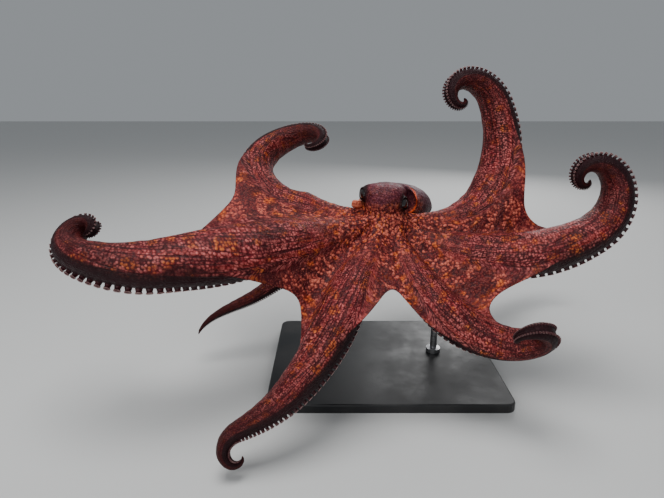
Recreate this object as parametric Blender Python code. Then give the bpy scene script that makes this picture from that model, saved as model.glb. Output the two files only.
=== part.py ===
"""A common octopus, life size, poised just off the ground on a museum stand.

The arms radiate from a small crown of muscle round the mouth, joined by web, and most of
their tips roll back over their own upper side.  The head rises from the crown, and the
mantle, the sack that holds the organs, lies behind it.  Metres, +Z up; the front of the
animal looks along -Y.  The origin is the middle of the underside of the base plate.
"""
import math

import bmesh
import bpy
from mathutils import Matrix, Vector

# ---- whole animal -------------------------------------------------------------------------
HUB = Vector((0.0, 0.0, 0.215))     # middle of the arm crown
CROWN_TILT = 30.0                   # degrees by which the crown's upper side leans forward
GAP = 0.0004                        # clearance between neighbouring pieces
ARM_START = 0.034                   # where an arm leaves the crown, along its own line

# ---- arms ---------------------------------------------------------------------------------
WEB_ROWS = 15                       # sections of an arm within reach of the web
WEB_PITCH = 0.0155                  # their spacing
OUTER_ROWS = 20                     # sections beyond it, closer and closer to the tip
SPACING_POWER = 1.5
FINE_STEPS = 160                    # steps along which a pose is followed
CROWDING = 0.36                     # breadth an arm may take near the hub, and the power of
CROWDING_POWER = 0.90               # the distance that it grows with
TIP_BREADTH = 0.0015
# section of an arm, from its right edge over the top to its left edge, then back
# underneath; (across, up) as shares of the breadth
SIDE_UP = 0.06
SIDE_UP_IN_WEB = 0.20
OVER = ((0.34, 0.35), (0.0, 0.44), (-0.34, 0.35))
UNDER = ((-0.29, -0.36), (0.0, -0.28), (0.29, -0.36))
SIDE_DOWN = -0.12
SUCKER_RISE = 0.10                  # how far every other sucker stands out, share of breadth
SHOULDER_AT = 0.115                 # where the shoulder of a rising arm lies along it, and
SHOULDER_REACH = 0.035              # how far it reaches

# Pose of each arm, in degrees: "around" is where it leaves the crown, counted from the
# front, the animal's left positive; "dip" tips it toward the mouth side; "curl" bends it
# toward its upper side, "swing" to its side and "twist" turns it about its own line, each
# a rate for the whole length at evenly spaced places from base to tip; "coil" is the final
# roll of the tip, from the share "coil_from" of the length on, tighter with less "ease".
# "breadth" is what the arm would have at the hub, and "fullness" the power of its taper;
# "shoulder" is the height of a swelling on the upper side where the arm starts to rise.
ARMS = {
    "arm_r1": dict(
        around=-24, dip=6, roll=12, length=0.391, breadth=0.096, fullness=0.71,
        curl=(60, -40, 15, 125, -150), swing=(-5, 10, -65, -65, 25),
        twist=(10, 80, 65), coil=-255, coil_from=0.85, ease=0.032),
    "arm_r2": dict(
        around=-66, dip=1, roll=-9, length=0.499, breadth=0.125, fullness=0.57,
        curl=(60, 25, 0, -395, 630), swing=(-55, 25, -35, -280, -110),
        twist=(-85, 155, 140), coil=425, coil_from=0.60, ease=0.020),
    "arm_r3": dict(
        around=-108, dip=1, roll=14, length=0.456, breadth=0.099, fullness=0.67,
        curl=(-125, 150, 210, -55, 390), swing=(95, -90, -160, 25, 10),
        twist=(95, 75, -55), coil=345, coil_from=0.54, ease=0.033, shoulder=0.0120),
    "arm_r4": dict(
        around=-148, dip=59, roll=-15, length=0.346, breadth=0.050, fullness=0.68,
        curl=(100, 85, -55, 140, -50), swing=(235, 105, 30, 35, 55),
        twist=(-80, 5, 10), coil=-60, coil_from=0.76, ease=0.030),
    "arm_l4": dict(
        around=147, dip=76, roll=15, length=0.471, breadth=0.080, fullness=0.60,
        curl=(255, 100, -155, -170, 30), swing=(-195, 20, 15, 0, -20),
        twist=(40, 25, 40), coil=265, coil_from=0.49, ease=0.031),
    "arm_l3": dict(
        around=107, dip=8, roll=-11, length=0.442, breadth=0.097, fullness=0.63,
        curl=(-95, 250, 215, 10, 90), swing=(-145, 135, 15, 70, -5),
        twist=(-40, -20, 65), coil=385, coil_from=0.67, ease=0.018),
    "arm_l2": dict(
        around=63, dip=19, roll=0, length=0.462, breadth=0.106, fullness=0.64,
        curl=(130, 50, 95, -50, 30), swing=(20, 70, 110, 5, 0),
        twist=(0, -75, -15), coil=450, coil_from=0.60, ease=0.028),
    "arm_l1": dict(
        around=24, dip=24, roll=-5, length=0.357, breadth=0.087, fullness=0.71,
        curl=(150, 15, 30, 245, 130), swing=(-90, 50, 195, 60, 10),
        twist=(-105, 100, 55), coil=275, coil_from=0.67, ease=0.036),
}
RING = ("arm_r1", "arm_r2", "arm_r3", "arm_r4", "arm_l4", "arm_l3", "arm_l2", "arm_l1")
CUTS = (9, 17, 25)                  # sections at which an arm is divided
LENGTH_NAMES = ("base", "middle", "outer", "tip")

# ---- web: sections that each sheet follows along its arms, where its hem dips to, and how
# sharp the dip is ------------------------------------------------------------------------------
WEBS = {
    "web_r1_r2": (13, 0.166, 0.8),
    "web_r2_r3": (15, 0.203, 0.8),
    "web_r3_r4": (9, 0.120, 0.8),
    "web_r4_l4": (8, 0.105, 0.8),
    "web_l4_l3": (9, 0.120, 0.8),
    "web_l3_l2": (15, 0.200, 0.8),
    "web_l2_l1": (12, 0.179, 0.8),
    "web_l1_r1": (10, 0.113, 1.0),
}
WEB_CELLS = 4                       # cells across a sheet
WEB_THICK_IN = 0.004
WEB_THICK_OUT = 0.0022
WEB_LEAST = 0.80                    # share of it that a steep sheet keeps, at least
WEB_REACH = 0.30                    # how far a sheet keeps an arm's sideways direction
WEB_SAG = 0.25                      # slope with which it leaves, toward the mouth side

# ---- crown of muscle round the mouth --------------------------------------------------------
NECK_HEIGHT = 0.0215
NECK_RADIUS = 0.0208
MOUTH_DEPTH = 0.0170
MOUTH_RADIUS = 0.0110

# ---- head and mantle: sections along the body, which is turned from straight ahead ----------
BODY_TURN = 22.0                    # degrees, front of the head toward the animal's right
HEAD_AT = Vector((-0.005, 0.003, 0.254))
SECTION_SIDES = 18
# (distance ahead of the head's middle, half breadth, half height, rise)
HEAD_SECTIONS = (
    (0.0300, 0.0095, 0.0060, -0.0060), (0.0270, 0.0190, 0.0110, -0.0050),
    (0.0190, 0.0260, 0.0147, -0.0041), (0.0080, 0.0290, 0.0163, -0.0039),
    (-0.0050, 0.0295, 0.0162, -0.0042), (-0.0170, 0.0275, 0.0160, -0.0042),
    (-0.0270, 0.0240, 0.0150, -0.0042), (-0.0340, 0.0210, 0.0140, -0.0045),
)
HEAD_SQUARENESS = 2.5
BROW_RISE = 0.0045                  # swelling round each eye
BROW_SPREAD = 0.0115
MANTLE_SECTIONS = (                 # the same, and how far a section leans forward
    (-0.0345, 0.0222, 0.0152, -0.0047, 0.0), (-0.0314, 0.0302, 0.0200, -0.0074, 0.25),
    (-0.0268, 0.0355, 0.0220, -0.0088, 0.25), (-0.0254, 0.0375, 0.0232, -0.0095, 0.25),
    (-0.0270, 0.0395, 0.0242, -0.0105, 0.25), (-0.0390, 0.0435, 0.0262, -0.0150, 0.20),
    (-0.0600, 0.0465, 0.0290, -0.0205, 0.10), (-0.0860, 0.0475, 0.0300, -0.0275, 0.0),
    (-0.1110, 0.0445, 0.0285, -0.0350, 0.0), (-0.1340, 0.0370, 0.0240, -0.0420, 0.0),
    (-0.1530, 0.0260, 0.0172, -0.0480, 0.0), (-0.1660, 0.0130, 0.0090, -0.0520, 0.0),
)
MANTLE_SQUARENESS = 2.15
EYE_OUT = 0.0270                    # from the middle plane of the head
EYE_AHEAD = 0.0030
EYE_UP = -0.0028                    # above the head's middle, and how much more on the
EYE_TIP = 0.0020                    # right, as the head is tipped a little to its left
EYE_RADIUS = 0.0085
FUNNEL_ROOT = Vector((-0.0252, 0.0345, -0.0112))   # from the head's middle
FUNNEL_TIP = Vector((-0.0400, -0.0150, -0.0102))
FUNNEL_BOW = Vector((-0.0058, -0.0010, 0.0))       # how far its middle stands off
FUNNEL_RADII = (0.0056, 0.0064, 0.0065, 0.0060, 0.0053, 0.0047)
FUNNEL_WALL = 0.0014
FUNNEL_SIDES = 12

# ---- stand ------------------------------------------------------------------------------------
BASE_SIZE = (0.320, 0.240, 0.012)
BASE_BEVEL = 0.0020
ROD_RADIUS = 0.0050
ROD_PLACES = {"stand_rod_right": ("arm_r3", 3), "stand_rod_left": ("arm_l3", 3)}
ROD_SIDES = 20
COLLAR_RADIUS = 0.0105
COLLAR_HEIGHT = 0.0060

# ---- colours ------------------------------------------------------------------------------------
SKIN = ((0.20, 0.055, 0.045), 0.45, 0.0)
WEB_SKIN = ((0.17, 0.045, 0.040), 0.45, 0.0)
MANTLE_SKIN = ((0.10, 0.050, 0.055), 0.45, 0.0)
EYE = ((0.02, 0.015, 0.015), 0.15, 0.0)
STAND_BASE = ((0.035, 0.035, 0.038), 0.45, 0.0)
STAND_METAL = ((0.55, 0.55, 0.56), 0.32, 1.0)


def keyed(values, share):
    """Value at a share (0 to 1) of the way through evenly spaced keys, eased between them."""
    place = min(max(share, 0.0), 1.0) * (len(values) - 1)
    first = min(int(place), len(values) - 2)
    ease = place - first
    ease = ease * ease * (3.0 - 2.0 * ease)
    return values[first] * (1.0 - ease) + values[first + 1] * ease


def turned(vector, axis, degrees):
    return Matrix.Rotation(math.radians(degrees), 3, axis) @ vector


def roll_done(share, start, ease):
    """Share of a tip's roll that is complete: a curve that tightens toward the end."""
    here = min(max(share, start), 1.0)
    whole = math.log((1.0 - start + ease) / ease)
    return math.log((1.0 - start + ease) / (1.0 - here + ease)) / whole


def follow(pose):
    """Frames along an arm: (point, along, up, across) at FINE_STEPS + 1 even places."""
    tilt = math.radians(CROWN_TILT)
    axis = Vector((0.0, -math.sin(tilt), math.cos(tilt)))
    front = Vector((0.0, -math.cos(tilt), -math.sin(tilt)))
    around = math.radians(pose["around"])
    outward = front * math.cos(around) + Vector((1.0, 0.0, 0.0)) * math.sin(around)
    dip = math.radians(pose["dip"])
    along = outward * math.cos(dip) - axis * math.sin(dip)
    up = turned(axis * math.cos(dip) + outward * math.sin(dip), along, pose["roll"])
    point = HUB.copy()
    frames = [(point.copy(), along.copy(), up.copy(), along.cross(up))]
    step = pose["length"] / FINE_STEPS
    for i in range(FINE_STEPS):
        share = (i + 0.5) / FINE_STEPS
        rolled = [roll_done(x / FINE_STEPS, pose["coil_from"], pose["ease"]) for x in (i, i + 1)]
        curl = keyed(pose["curl"], share) / FINE_STEPS + pose["coil"] * (rolled[1] - rolled[0])
        swing = keyed(pose["swing"], share) / FINE_STEPS
        twist = keyed(pose["twist"], share) / FINE_STEPS
        for half in (0, 1):
            across = along.cross(up)
            along = turned(along, across, curl / 2)
            up = turned(up, across, curl / 2)
            along = turned(along, up, swing / 2)
            if half == 0:
                point = point + along * step
        up = turned(up, along, twist)
        along.normalize()
        up = (up - along * up.dot(along)).normalized()
        frames.append((point.copy(), along.copy(), up.copy(), along.cross(up)))
    return frames


def frame_at(arm, distance):
    """Frame at a distance along an arm, between two of its followed steps."""
    frames = arm["frames"]
    place = distance / arm["length"] * FINE_STEPS
    first = min(max(int(place), 0), FINE_STEPS - 1)
    part = place - first
    point, along, up = (frames[first][k].lerp(frames[first + 1][k], part) for k in range(3))
    along = along.normalized()
    up = (up - along * up.dot(along)).normalized()
    return point, along, up, along.cross(up)


def soft_min(a, b):
    return (a ** -4 + b ** -4) ** -0.25


def breadth(arm, distance):
    """Breadth of an arm: crowded by its neighbours near the hub, then tapering."""
    left = max(1.0 - distance / arm["length"], 0.0)
    free = arm["breadth"] * left ** arm["fullness"] + TIP_BREADTH
    return soft_min(free, CROWDING * distance ** CROWDING_POWER)


def depth_scale(arm, distance):
    """What an arm's height is reckoned from: near the hub an arm stays deep."""
    left = max(1.0 - distance / arm["length"], 0.0)
    free = arm["breadth"] * left ** arm["fullness"] + TIP_BREADTH
    return soft_min(free, 0.42 * distance + 0.022)


def side_height(distance):
    """Height of an arm's edge, share of its depth: raised where the web is attached."""
    reach = ARM_START + WEB_PITCH * WEB_ROWS
    share = min(max((distance - 0.4 * reach) / (0.6 * reach), 0.0), 1.0)
    return SIDE_UP_IN_WEB + (SIDE_UP - SIDE_UP_IN_WEB) * share


def rows_of(length):
    """Distances of an arm's sections."""
    rows = [ARM_START + WEB_PITCH * j for j in range(WEB_ROWS + 1)]
    rest = length - rows[-1]
    for k in range(1, OUTER_ROWS + 1):
        rows.append(rows[-1 - (k - 1)] + rest * (1.0 - (1.0 - k / OUTER_ROWS) ** SPACING_POWER))
    return rows


def section(arm, row, shift=0.0):
    """The ten points of an arm's section, moved along the arm by a shift."""
    distance = arm["rows"][row]
    point, along, up, across = frame_at(arm, distance)
    wide = breadth(arm, distance)
    deep = depth_scale(arm, distance)
    side = side_height(distance)
    even = row % 2
    lift = arm.get("shoulder", 0.0) / deep
    lift *= math.exp(-((distance - SHOULDER_AT) / SHOULDER_REACH) ** 2)
    over = [(a, b + lift * (b - side) / (OVER[1][1] - side)) for a, b in OVER]
    outline = [(0.49, side)] + over + [(-0.49, side), (-0.47, SIDE_DOWN)]
    for k, (a, b) in enumerate(UNDER):
        standing = (k == 0 and even) or (k == 2 and not even)
        outline.append((a, b - SUCKER_RISE * standing))
    outline.append((0.47, SIDE_DOWN))
    start = point + along * shift
    return [start + across * (a * wide) + up * (b * deep) for a, b in outline]


def material(name, look):
    colour, roughness, metallic = look
    made = bpy.data.materials.new(name)
    made.use_nodes = True
    shader = made.node_tree.nodes["Principled BSDF"]
    shader.inputs["Base Color"].default_value = (*colour, 1.0)
    shader.inputs["Roughness"].default_value = roughness
    shader.inputs["Metallic"].default_value = metallic
    made.diffuse_color = (*colour, 1.0)
    return made


def add_object(name, bm, look, smooth=50.0):
    bmesh.ops.recalc_face_normals(bm, faces=bm.faces)
    if bm.calc_volume(signed=True) < 0.0:
        bmesh.ops.reverse_faces(bm, faces=bm.faces)
    mesh = bpy.data.meshes.new(name)
    bm.to_mesh(mesh)
    bm.free()
    mesh.shade_smooth()
    mesh.set_sharp_from_angle(angle=math.radians(smooth))
    made = bpy.data.objects.new(name, mesh)
    made.data.materials.append(material(name + "_surface", look))
    bpy.context.scene.collection.objects.link(made)
    made.parent = animal
    return made


def loft(rings):
    """A closed solid through rings of equal, even size; each end is closed by a strip of faces."""
    sides = len(rings[0])
    bm = bmesh.new()
    bmesh.ops.create_grid(bm, x_segments=sides, y_segments=len(rings) - 1, size=1.0)
    bm.verts.ensure_lookup_table()
    for i, vert in enumerate(bm.verts):
        vert.co = rings[i // (sides + 1)][i % (sides + 1) % sides]
    for first in (0, (len(rings) - 1) * (sides + 1)):
        for k in range(sides // 2 - 1):
            corners = (k, k + 1, sides - 2 - k, sides - 1 - k)
            bm.faces.new([bm.verts[first + c] for c in corners])
    bmesh.ops.remove_doubles(bm, verts=bm.verts, dist=1e-6)
    return bm


def add_arm(name):
    arm = poses[name]
    bounds = [0, *CUTS, len(arm["rows"]) - 1]
    for k, label in enumerate(LENGTH_NAMES):
        rings = []
        for row in range(bounds[k], bounds[k + 1] + 1):
            shift = 0.0
            if row == bounds[k] and k > 0:
                shift = GAP / 2
            if row == bounds[k + 1] and k < len(LENGTH_NAMES) - 1:
                shift = -GAP / 2
            rings.append(section(arm, row, shift))
        add_object(name + "_" + label, loft(rings), SKIN)


def web_edge(arm, distance, side, under):
    """A point just outside an arm's edge, lower by the web's depth, and the way out from it."""
    point, along, up, across = frame_at(arm, distance)
    wide = breadth(arm, distance)
    deep = depth_scale(arm, distance)
    top = side_height(distance) * deep - 0.0006
    height = top - under
    lean = 0.49 - 0.02 * (top - height) / (deep * 0.3)
    edge = point + across * (side * (lean * wide + GAP)) + up * height
    return edge, (across * side - up * WEB_SAG).normalized()


def bezier(a, b, c, d, t):
    u = 1.0 - t
    return a * u ** 3 + b * (3.0 * u * u * t) + c * (3.0 * u * t * t) + d * t ** 3


def web_faces(first, second, rows, hem, sharpness):
    """Upper and lower faces of a sheet, row by row outward, each row from arm to arm."""
    edge = first["rows"][rows]
    faces = ([], [])
    for j in range(rows + 1):
        thick = WEB_THICK_IN + (WEB_THICK_OUT - WEB_THICK_IN) * j / rows
        for face, under in zip(faces, (0.0, thick)):
            line = []
            for i in range(WEB_CELLS + 1):
                t = i / WEB_CELLS
                end = edge - (edge - hem) * math.sin(math.pi * t) ** sharpness
                distance = ARM_START + max((end - ARM_START) * j / rows, 3.0 * GAP)
                a, out_a = web_edge(first, distance, 1.0, under)
                b, out_b = web_edge(second, distance, -1.0, under)
                reach = WEB_REACH * (b - a).length
                line.append(bezier(a, a + out_a * reach, b + out_b * reach, b, t))
            face.append(line)
    upper, lower = faces
    raised = [list(line) for line in upper]
    for j in range(rows + 1):
        thick = WEB_THICK_IN + (WEB_THICK_OUT - WEB_THICK_IN) * j / rows
        for i in range(1, WEB_CELLS):
            outward = upper[min(j + 1, rows)][i] - upper[max(j - 1, 0)][i]
            sideways = upper[j][i + 1] - upper[j][i - 1]
            normal = sideways.cross(outward).normalized()
            lacking = WEB_LEAST * thick - normal.dot(upper[j][i] - lower[j][i])
            share = math.sin(math.pi * i / WEB_CELLS) ** 2
            raised[j][i] += normal * max(lacking, 0.0) * share
    return raised, lower


def add_web(name, first, second):
    rows, hem, sharpness = WEBS[name]
    upper, lower = web_faces(poses[first], poses[second], rows, hem, sharpness)
    rings = [over + under[::-1] for over, under in zip(upper, lower)]
    add_object(name, loft(rings), WEB_SKIN)


def add_crown():
    """The crown: a wall that faces the arms and the web, a neck above, the mouth below."""
    over = []
    below = []
    for name in RING:
        ring = section(poses[name], 0, -2.0 * GAP)
        over += ring[4::-1]
        below += ring[5:]
    tilt = math.radians(CROWN_TILT)
    axis = Vector((0.0, -math.sin(tilt), math.cos(tilt)))
    neck = ring_round(HUB + Vector((0.0, 0.0, NECK_HEIGHT)), over, NECK_RADIUS)
    mouth = ring_round(HUB - axis * MOUTH_DEPTH, below, MOUTH_RADIUS, axis)
    shoulder = [p.lerp(q, 0.55) + Vector((0.0, 0.0, 0.002)) for p, q in zip(over, neck)]
    lip = [p.lerp(q, 0.60) for p, q in zip(below, mouth)]
    add_object("arm_crown", loft([neck, shoulder, over, below, lip, mouth]), SKIN)


def ring_round(centre, loop, radius, axis=Vector((0.0, 0.0, 1.0))):
    """A flat ring about a centre, each point on the bearing of a loop's point."""
    ring = []
    for p in loop:
        arm = p - centre
        arm = (arm - axis * arm.dot(axis)).normalized()
        ring.append(centre + arm * radius)
    return ring


def body_axes():
    turn = math.radians(BODY_TURN)
    ahead = Vector((-math.sin(turn), -math.cos(turn), 0.0))
    across = Vector((math.cos(turn), -math.sin(turn), 0.0))
    return ahead, across


def body_ring(entry, squareness):
    """A rounded section of the head or mantle, standing across the body's line."""
    distance, half_wide, half_high, rise = entry[:4]
    lean = entry[4] if len(entry) > 4 else 0.0
    ahead, across = body_axes()
    centre = HEAD_AT + ahead * distance + Vector((0.0, 0.0, rise))
    ring = []
    for i in range(SECTION_SIDES):
        angle = 2.0 * math.pi * i / SECTION_SIDES
        c = math.cos(angle)
        s = math.sin(angle)
        x = math.copysign(abs(c) ** (2.0 / squareness), c) * half_wide
        z = math.copysign(abs(s) ** (2.0 / squareness), s) * half_high
        ring.append(centre + across * x + ahead * (lean * z) + Vector((0.0, 0.0, z)))
    return ring


def eye_places():
    ahead, across = body_axes()
    middle = HEAD_AT + ahead * EYE_AHEAD + Vector((0.0, 0.0, EYE_UP))
    out = across * EYE_OUT - Vector((0.0, 0.0, EYE_TIP))
    return {"eye_right": middle - out, "eye_left": middle + out}


def add_eyes_and_head():
    bm = loft([body_ring(entry, HEAD_SQUARENESS) for entry in HEAD_SECTIONS])
    for place in eye_places().values():
        for vert in bm.verts:
            away = vert.co - place
            swell = BROW_RISE * math.exp(-(away.length / BROW_SPREAD) ** 2)
            vert.co += (vert.co - HEAD_AT).normalized() * swell
    floor = HUB + Vector((0.0, 0.0, NECK_HEIGHT + GAP))
    everything = list(bm.verts) + list(bm.edges) + list(bm.faces)
    bmesh.ops.bisect_plane(bm, geom=everything, plane_co=floor, plane_no=(0.0, 0.0, -1.0),
                           clear_outer=True)
    bmesh.ops.holes_fill(bm, edges=[e for e in bm.edges if e.is_boundary], sides=0)
    head = add_object("head", bm, SKIN)
    for name, place in eye_places().items():
        eye = bmesh.new()
        bmesh.ops.create_uvsphere(eye, u_segments=12, v_segments=8, radius=EYE_RADIUS,
                                  matrix=Matrix.Translation(place))
        add_object(name, eye, EYE)
        socket = bmesh.new()
        bmesh.ops.create_uvsphere(socket, u_segments=12, v_segments=8,
                                  radius=EYE_RADIUS + GAP, matrix=Matrix.Translation(place))
        cutter = add_object(name + "_socket", socket, EYE)
        cutter.hide_render = True
        cutter.display_type = "WIRE"
        cut = head.modifiers.new(name + "_socket", "BOOLEAN")
        cut.operation = "DIFFERENCE"
        cut.solver = "EXACT"
        cut.object = cutter


def add_mantle():
    rings = [body_ring(entry, MANTLE_SQUARENESS) for entry in MANTLE_SECTIONS]
    ahead, across = body_axes()
    rings[0] = [p - ahead * GAP for p in rings[0]]
    add_object("mantle", loft(rings), MANTLE_SKIN)


def add_funnel():
    """The breathing funnel: a bowed, tapered tube with an open end, beside the head."""
    last = len(FUNNEL_RADII) - 1
    circles = []
    for k, radius in [(k, FUNNEL_RADII[k]) for k in range(last + 1)] + [
            (k, FUNNEL_RADII[k] - FUNNEL_WALL) for k in (last, last - 1)]:
        share = k / last
        centre = (HEAD_AT + FUNNEL_ROOT.lerp(FUNNEL_TIP, share)
                  + FUNNEL_BOW * math.sin(math.pi * share))
        line = (FUNNEL_TIP - FUNNEL_ROOT
                + FUNNEL_BOW * math.pi * math.cos(math.pi * share)).normalized()
        side = line.cross(Vector((0, 0, 1))).normalized()
        other = line.cross(side)
        angles = [2.0 * math.pi * i / FUNNEL_SIDES for i in range(FUNNEL_SIDES)]
        circles.append([centre + (side * math.cos(a) + other * math.sin(a)) * radius
                        for a in angles])
    add_object("funnel", loft(circles), SKIN)


def add_stand():
    base = bmesh.new()
    bmesh.ops.create_cube(base, size=1.0)
    bmesh.ops.scale(base, vec=BASE_SIZE, verts=base.verts)
    bmesh.ops.translate(base, vec=(0.0, 0.0, BASE_SIZE[2] / 2), verts=base.verts)
    upright = [e for e in base.edges if abs(e.verts[0].co.z - e.verts[1].co.z) > 0.001]
    bmesh.ops.bevel(base, geom=upright, offset=BASE_SIZE[2], affect="EDGES", segments=4,
                    profile=0.5, material=-1)
    rim = [e for e in base.edges if min(v.co.z for v in e.verts) > BASE_SIZE[2] - 1e-5]
    bmesh.ops.bevel(base, geom=rim, offset=BASE_BEVEL, affect="EDGES", segments=2,
                    profile=0.5, material=-1)
    add_object("stand_base", base, STAND_BASE, 30.0)
    for name, (arm_name, row) in ROD_PLACES.items():
        arm = poses[arm_name]
        point, along, up, across = frame_at(arm, arm["rows"][row])
        low = min(p.z for p in section(arm, row) + section(arm, row + 1))
        bottom = BASE_SIZE[2] + GAP
        profile = ((COLLAR_RADIUS, bottom), (COLLAR_RADIUS, bottom + COLLAR_HEIGHT),
                   (ROD_RADIUS, bottom + COLLAR_HEIGHT + 0.001), (ROD_RADIUS, low - GAP))
        rings = []
        for radius, height in profile:
            angles = [2.0 * math.pi * i / ROD_SIDES for i in range(ROD_SIDES)]
            rings.append([Vector((point.x + radius * math.cos(a),
                                  point.y + radius * math.sin(a), height)) for a in angles])
        add_object(name, loft(rings), STAND_METAL, 30.0)


for old in list(bpy.data.objects):
    bpy.data.objects.remove(old, do_unlink=True)
animal = bpy.data.objects.new("octopus_on_stand", None)
bpy.context.scene.collection.objects.link(animal)
poses = {}
for arm_name, arm_pose in ARMS.items():
    poses[arm_name] = dict(arm_pose)
    poses[arm_name]["frames"] = follow(arm_pose)
    poses[arm_name]["rows"] = rows_of(arm_pose["length"])
for arm_name in RING:
    add_arm(arm_name)
for k, arm_name in enumerate(RING):
    neighbour = RING[(k + 1) % len(RING)]
    add_web("web_" + arm_name[4:] + "_" + neighbour[4:], arm_name, neighbour)
add_crown()
add_eyes_and_head()
add_mantle()
add_funnel()
add_stand()
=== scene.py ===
# %% [markdown]
# # A common octopus, life size, on a display stand
# The animal hangs just off the ground with its arms spread and most of their tips rolled
# back over their own upper side.  Everything here is built in metres, +Z up, with the
# front of the animal looking along -Y.  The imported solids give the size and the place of
# each part; this script gives the looks: one skin, the suckers, the eyes and the finishes.

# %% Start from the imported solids
import math
import bmesh
import bpy
import numpy as np
from mathutils import Matrix, Vector
from mathutils.noise import noise as soft_noise


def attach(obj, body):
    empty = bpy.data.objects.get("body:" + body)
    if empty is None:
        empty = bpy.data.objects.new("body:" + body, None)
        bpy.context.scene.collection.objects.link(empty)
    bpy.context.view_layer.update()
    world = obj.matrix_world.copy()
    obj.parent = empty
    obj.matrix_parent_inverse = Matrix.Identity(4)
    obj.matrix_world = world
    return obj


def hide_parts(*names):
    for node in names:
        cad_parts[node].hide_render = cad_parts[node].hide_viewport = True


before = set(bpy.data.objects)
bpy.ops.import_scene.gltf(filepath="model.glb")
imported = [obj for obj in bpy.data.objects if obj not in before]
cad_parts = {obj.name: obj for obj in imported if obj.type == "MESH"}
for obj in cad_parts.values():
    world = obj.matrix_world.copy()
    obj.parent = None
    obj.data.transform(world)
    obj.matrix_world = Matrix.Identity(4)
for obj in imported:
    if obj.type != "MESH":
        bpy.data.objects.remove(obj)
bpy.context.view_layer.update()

# %% [markdown]
# ## The camera
# The camera comes first, because it decides which side of each piece is seen most.  It is
# low and close, as a diver meets the animal: about 0.65 m in front of the mouth, looking
# down by 18 degrees through a wide lens.

# %% Camera
LENS = 26.69                         # mm, for a picture 36 mm wide
CAMERA_AT = (-0.075, -0.650, 0.390)
LOOKS_DOWN = 17.9                    # degrees
camera_data = bpy.data.cameras.new("camera")
camera_data.sensor_width = 36.0
camera_data.lens = LENS
camera_data.clip_start = 0.01
camera = bpy.data.objects.new("camera", camera_data)
camera.location = CAMERA_AT
camera.rotation_euler = (math.radians(90.0 - LOOKS_DOWN), 0.0, 0.0)
bpy.context.scene.collection.objects.link(camera)
bpy.context.scene.camera = camera
print("camera looks along", camera.matrix_basis.to_quaternion() @ Vector((0, 0, -1)))

# %% [markdown]
# ## The line of each arm
# An octopus arm has no bones: it is a long cone of muscle that bends anywhere.  Its pose is
# one smooth line from the mouth to the tip, and at each place on it three directions:
# along the arm, up (the side away from the suckers) and across.  These are the same poses
# that the solids follow, so the skin lies on them.

# %% Sizes of the animal
HUB = Vector((0.0, 0.0, 0.215))      # middle of the crown, where the arms run together
CROWN_TILT = 30.0                    # degrees by which its upper side leans forward
ARM_START = 0.034                    # where an arm leaves the crown, along its own line
WEB_ROWS = 15                        # sections of an arm within reach of the web
WEB_PITCH = 0.0155                   # their spacing
FINE_STEPS = 160                     # steps along which a pose is followed
CROWDING = 0.36                      # breadth an arm may take near the hub, and the power
CROWDING_POWER = 0.90                # of the distance that it grows with
TIP_BREADTH = 0.0015
SHOULDER_AT = 0.115                  # where the shoulder of a rising arm lies along it
SHOULDER_REACH = 0.035
EDGE_AT = 0.49                       # an arm's edge, share of its breadth from the middle
TOP_AT = 0.44                        # its top, share of its depth
BOTTOM_AT = -0.31                    # its sucker side, and the furrow along the middle
FURROW, FURROW_REACH = 0.06, 0.13
SIDE_IN_WEB, SIDE_FREE = 0.20, 0.06  # how high its edge lies, share of its depth
WEB_INNER, WEB_OUTER = 0.0040, 0.0022  # thickness of a web at the crown and at its hem
WEB_LEAST = 0.8                      # share of it that a steep web keeps, at least
# each arm: the bearing at which it leaves the crown, how far it dips and how far it is turned
# about its own line, in degrees; its length and breadth in metres and the power of its taper;
# the final roll of its tip in degrees, the share of the length where that starts, and how
# evenly it tightens; the height of a shoulder; and its bends upward, sideways and about its
# line, each a rate at evenly spaced places
POSE = ("around", "dip", "roll", "length", "breadth", "fullness", "coil",
        "coil_from", "ease", "shoulder", "curl", "swing", "twist")
ARMS = {
    "arm_r1": (-24, 6, 12, 0.391, 0.096, 0.71, -255, 0.85, 0.032, 0.0,
               (60, -40, 15, 125, -150), (-5, 10, -65, -65, 25), (10, 80, 65)),
    "arm_r2": (-66, 1, -9, 0.499, 0.125, 0.57, 425, 0.60, 0.020, 0.0,
               (60, 25, 0, -395, 630), (-55, 25, -35, -280, -110), (-85, 155, 140)),
    "arm_r3": (-108, 1, 14, 0.456, 0.099, 0.67, 345, 0.54, 0.033, 0.0120,
               (-125, 150, 210, -55, 390), (95, -90, -160, 25, 10), (95, 75, -55)),
    "arm_r4": (-148, 59, -15, 0.346, 0.050, 0.68, -60, 0.76, 0.030, 0.0,
               (100, 85, -55, 140, -50), (235, 105, 30, 35, 55), (-80, 5, 10)),
    "arm_l4": (147, 76, 15, 0.471, 0.080, 0.60, 265, 0.49, 0.031, 0.0,
               (255, 100, -155, -170, 30), (-195, 20, 15, 0, -20), (40, 25, 40)),
    "arm_l3": (107, 8, -11, 0.442, 0.097, 0.63, 385, 0.67, 0.018, 0.0,
               (-95, 250, 215, 10, 90), (-145, 135, 15, 70, -5), (-40, -20, 65)),
    "arm_l2": (63, 19, 0, 0.462, 0.106, 0.64, 450, 0.60, 0.028, 0.0,
               (130, 50, 95, -50, 30), (20, 70, 110, 5, 0), (0, -75, -15)),
    "arm_l1": (24, 24, -5, 0.357, 0.087, 0.71, 275, 0.67, 0.036, 0.0,
               (150, 15, 30, 245, 130), (-90, 50, 195, 60, 10), (-105, 100, 55)),
}
ARMS = {name: dict(zip(POSE, values)) for name, values in ARMS.items()}
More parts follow.
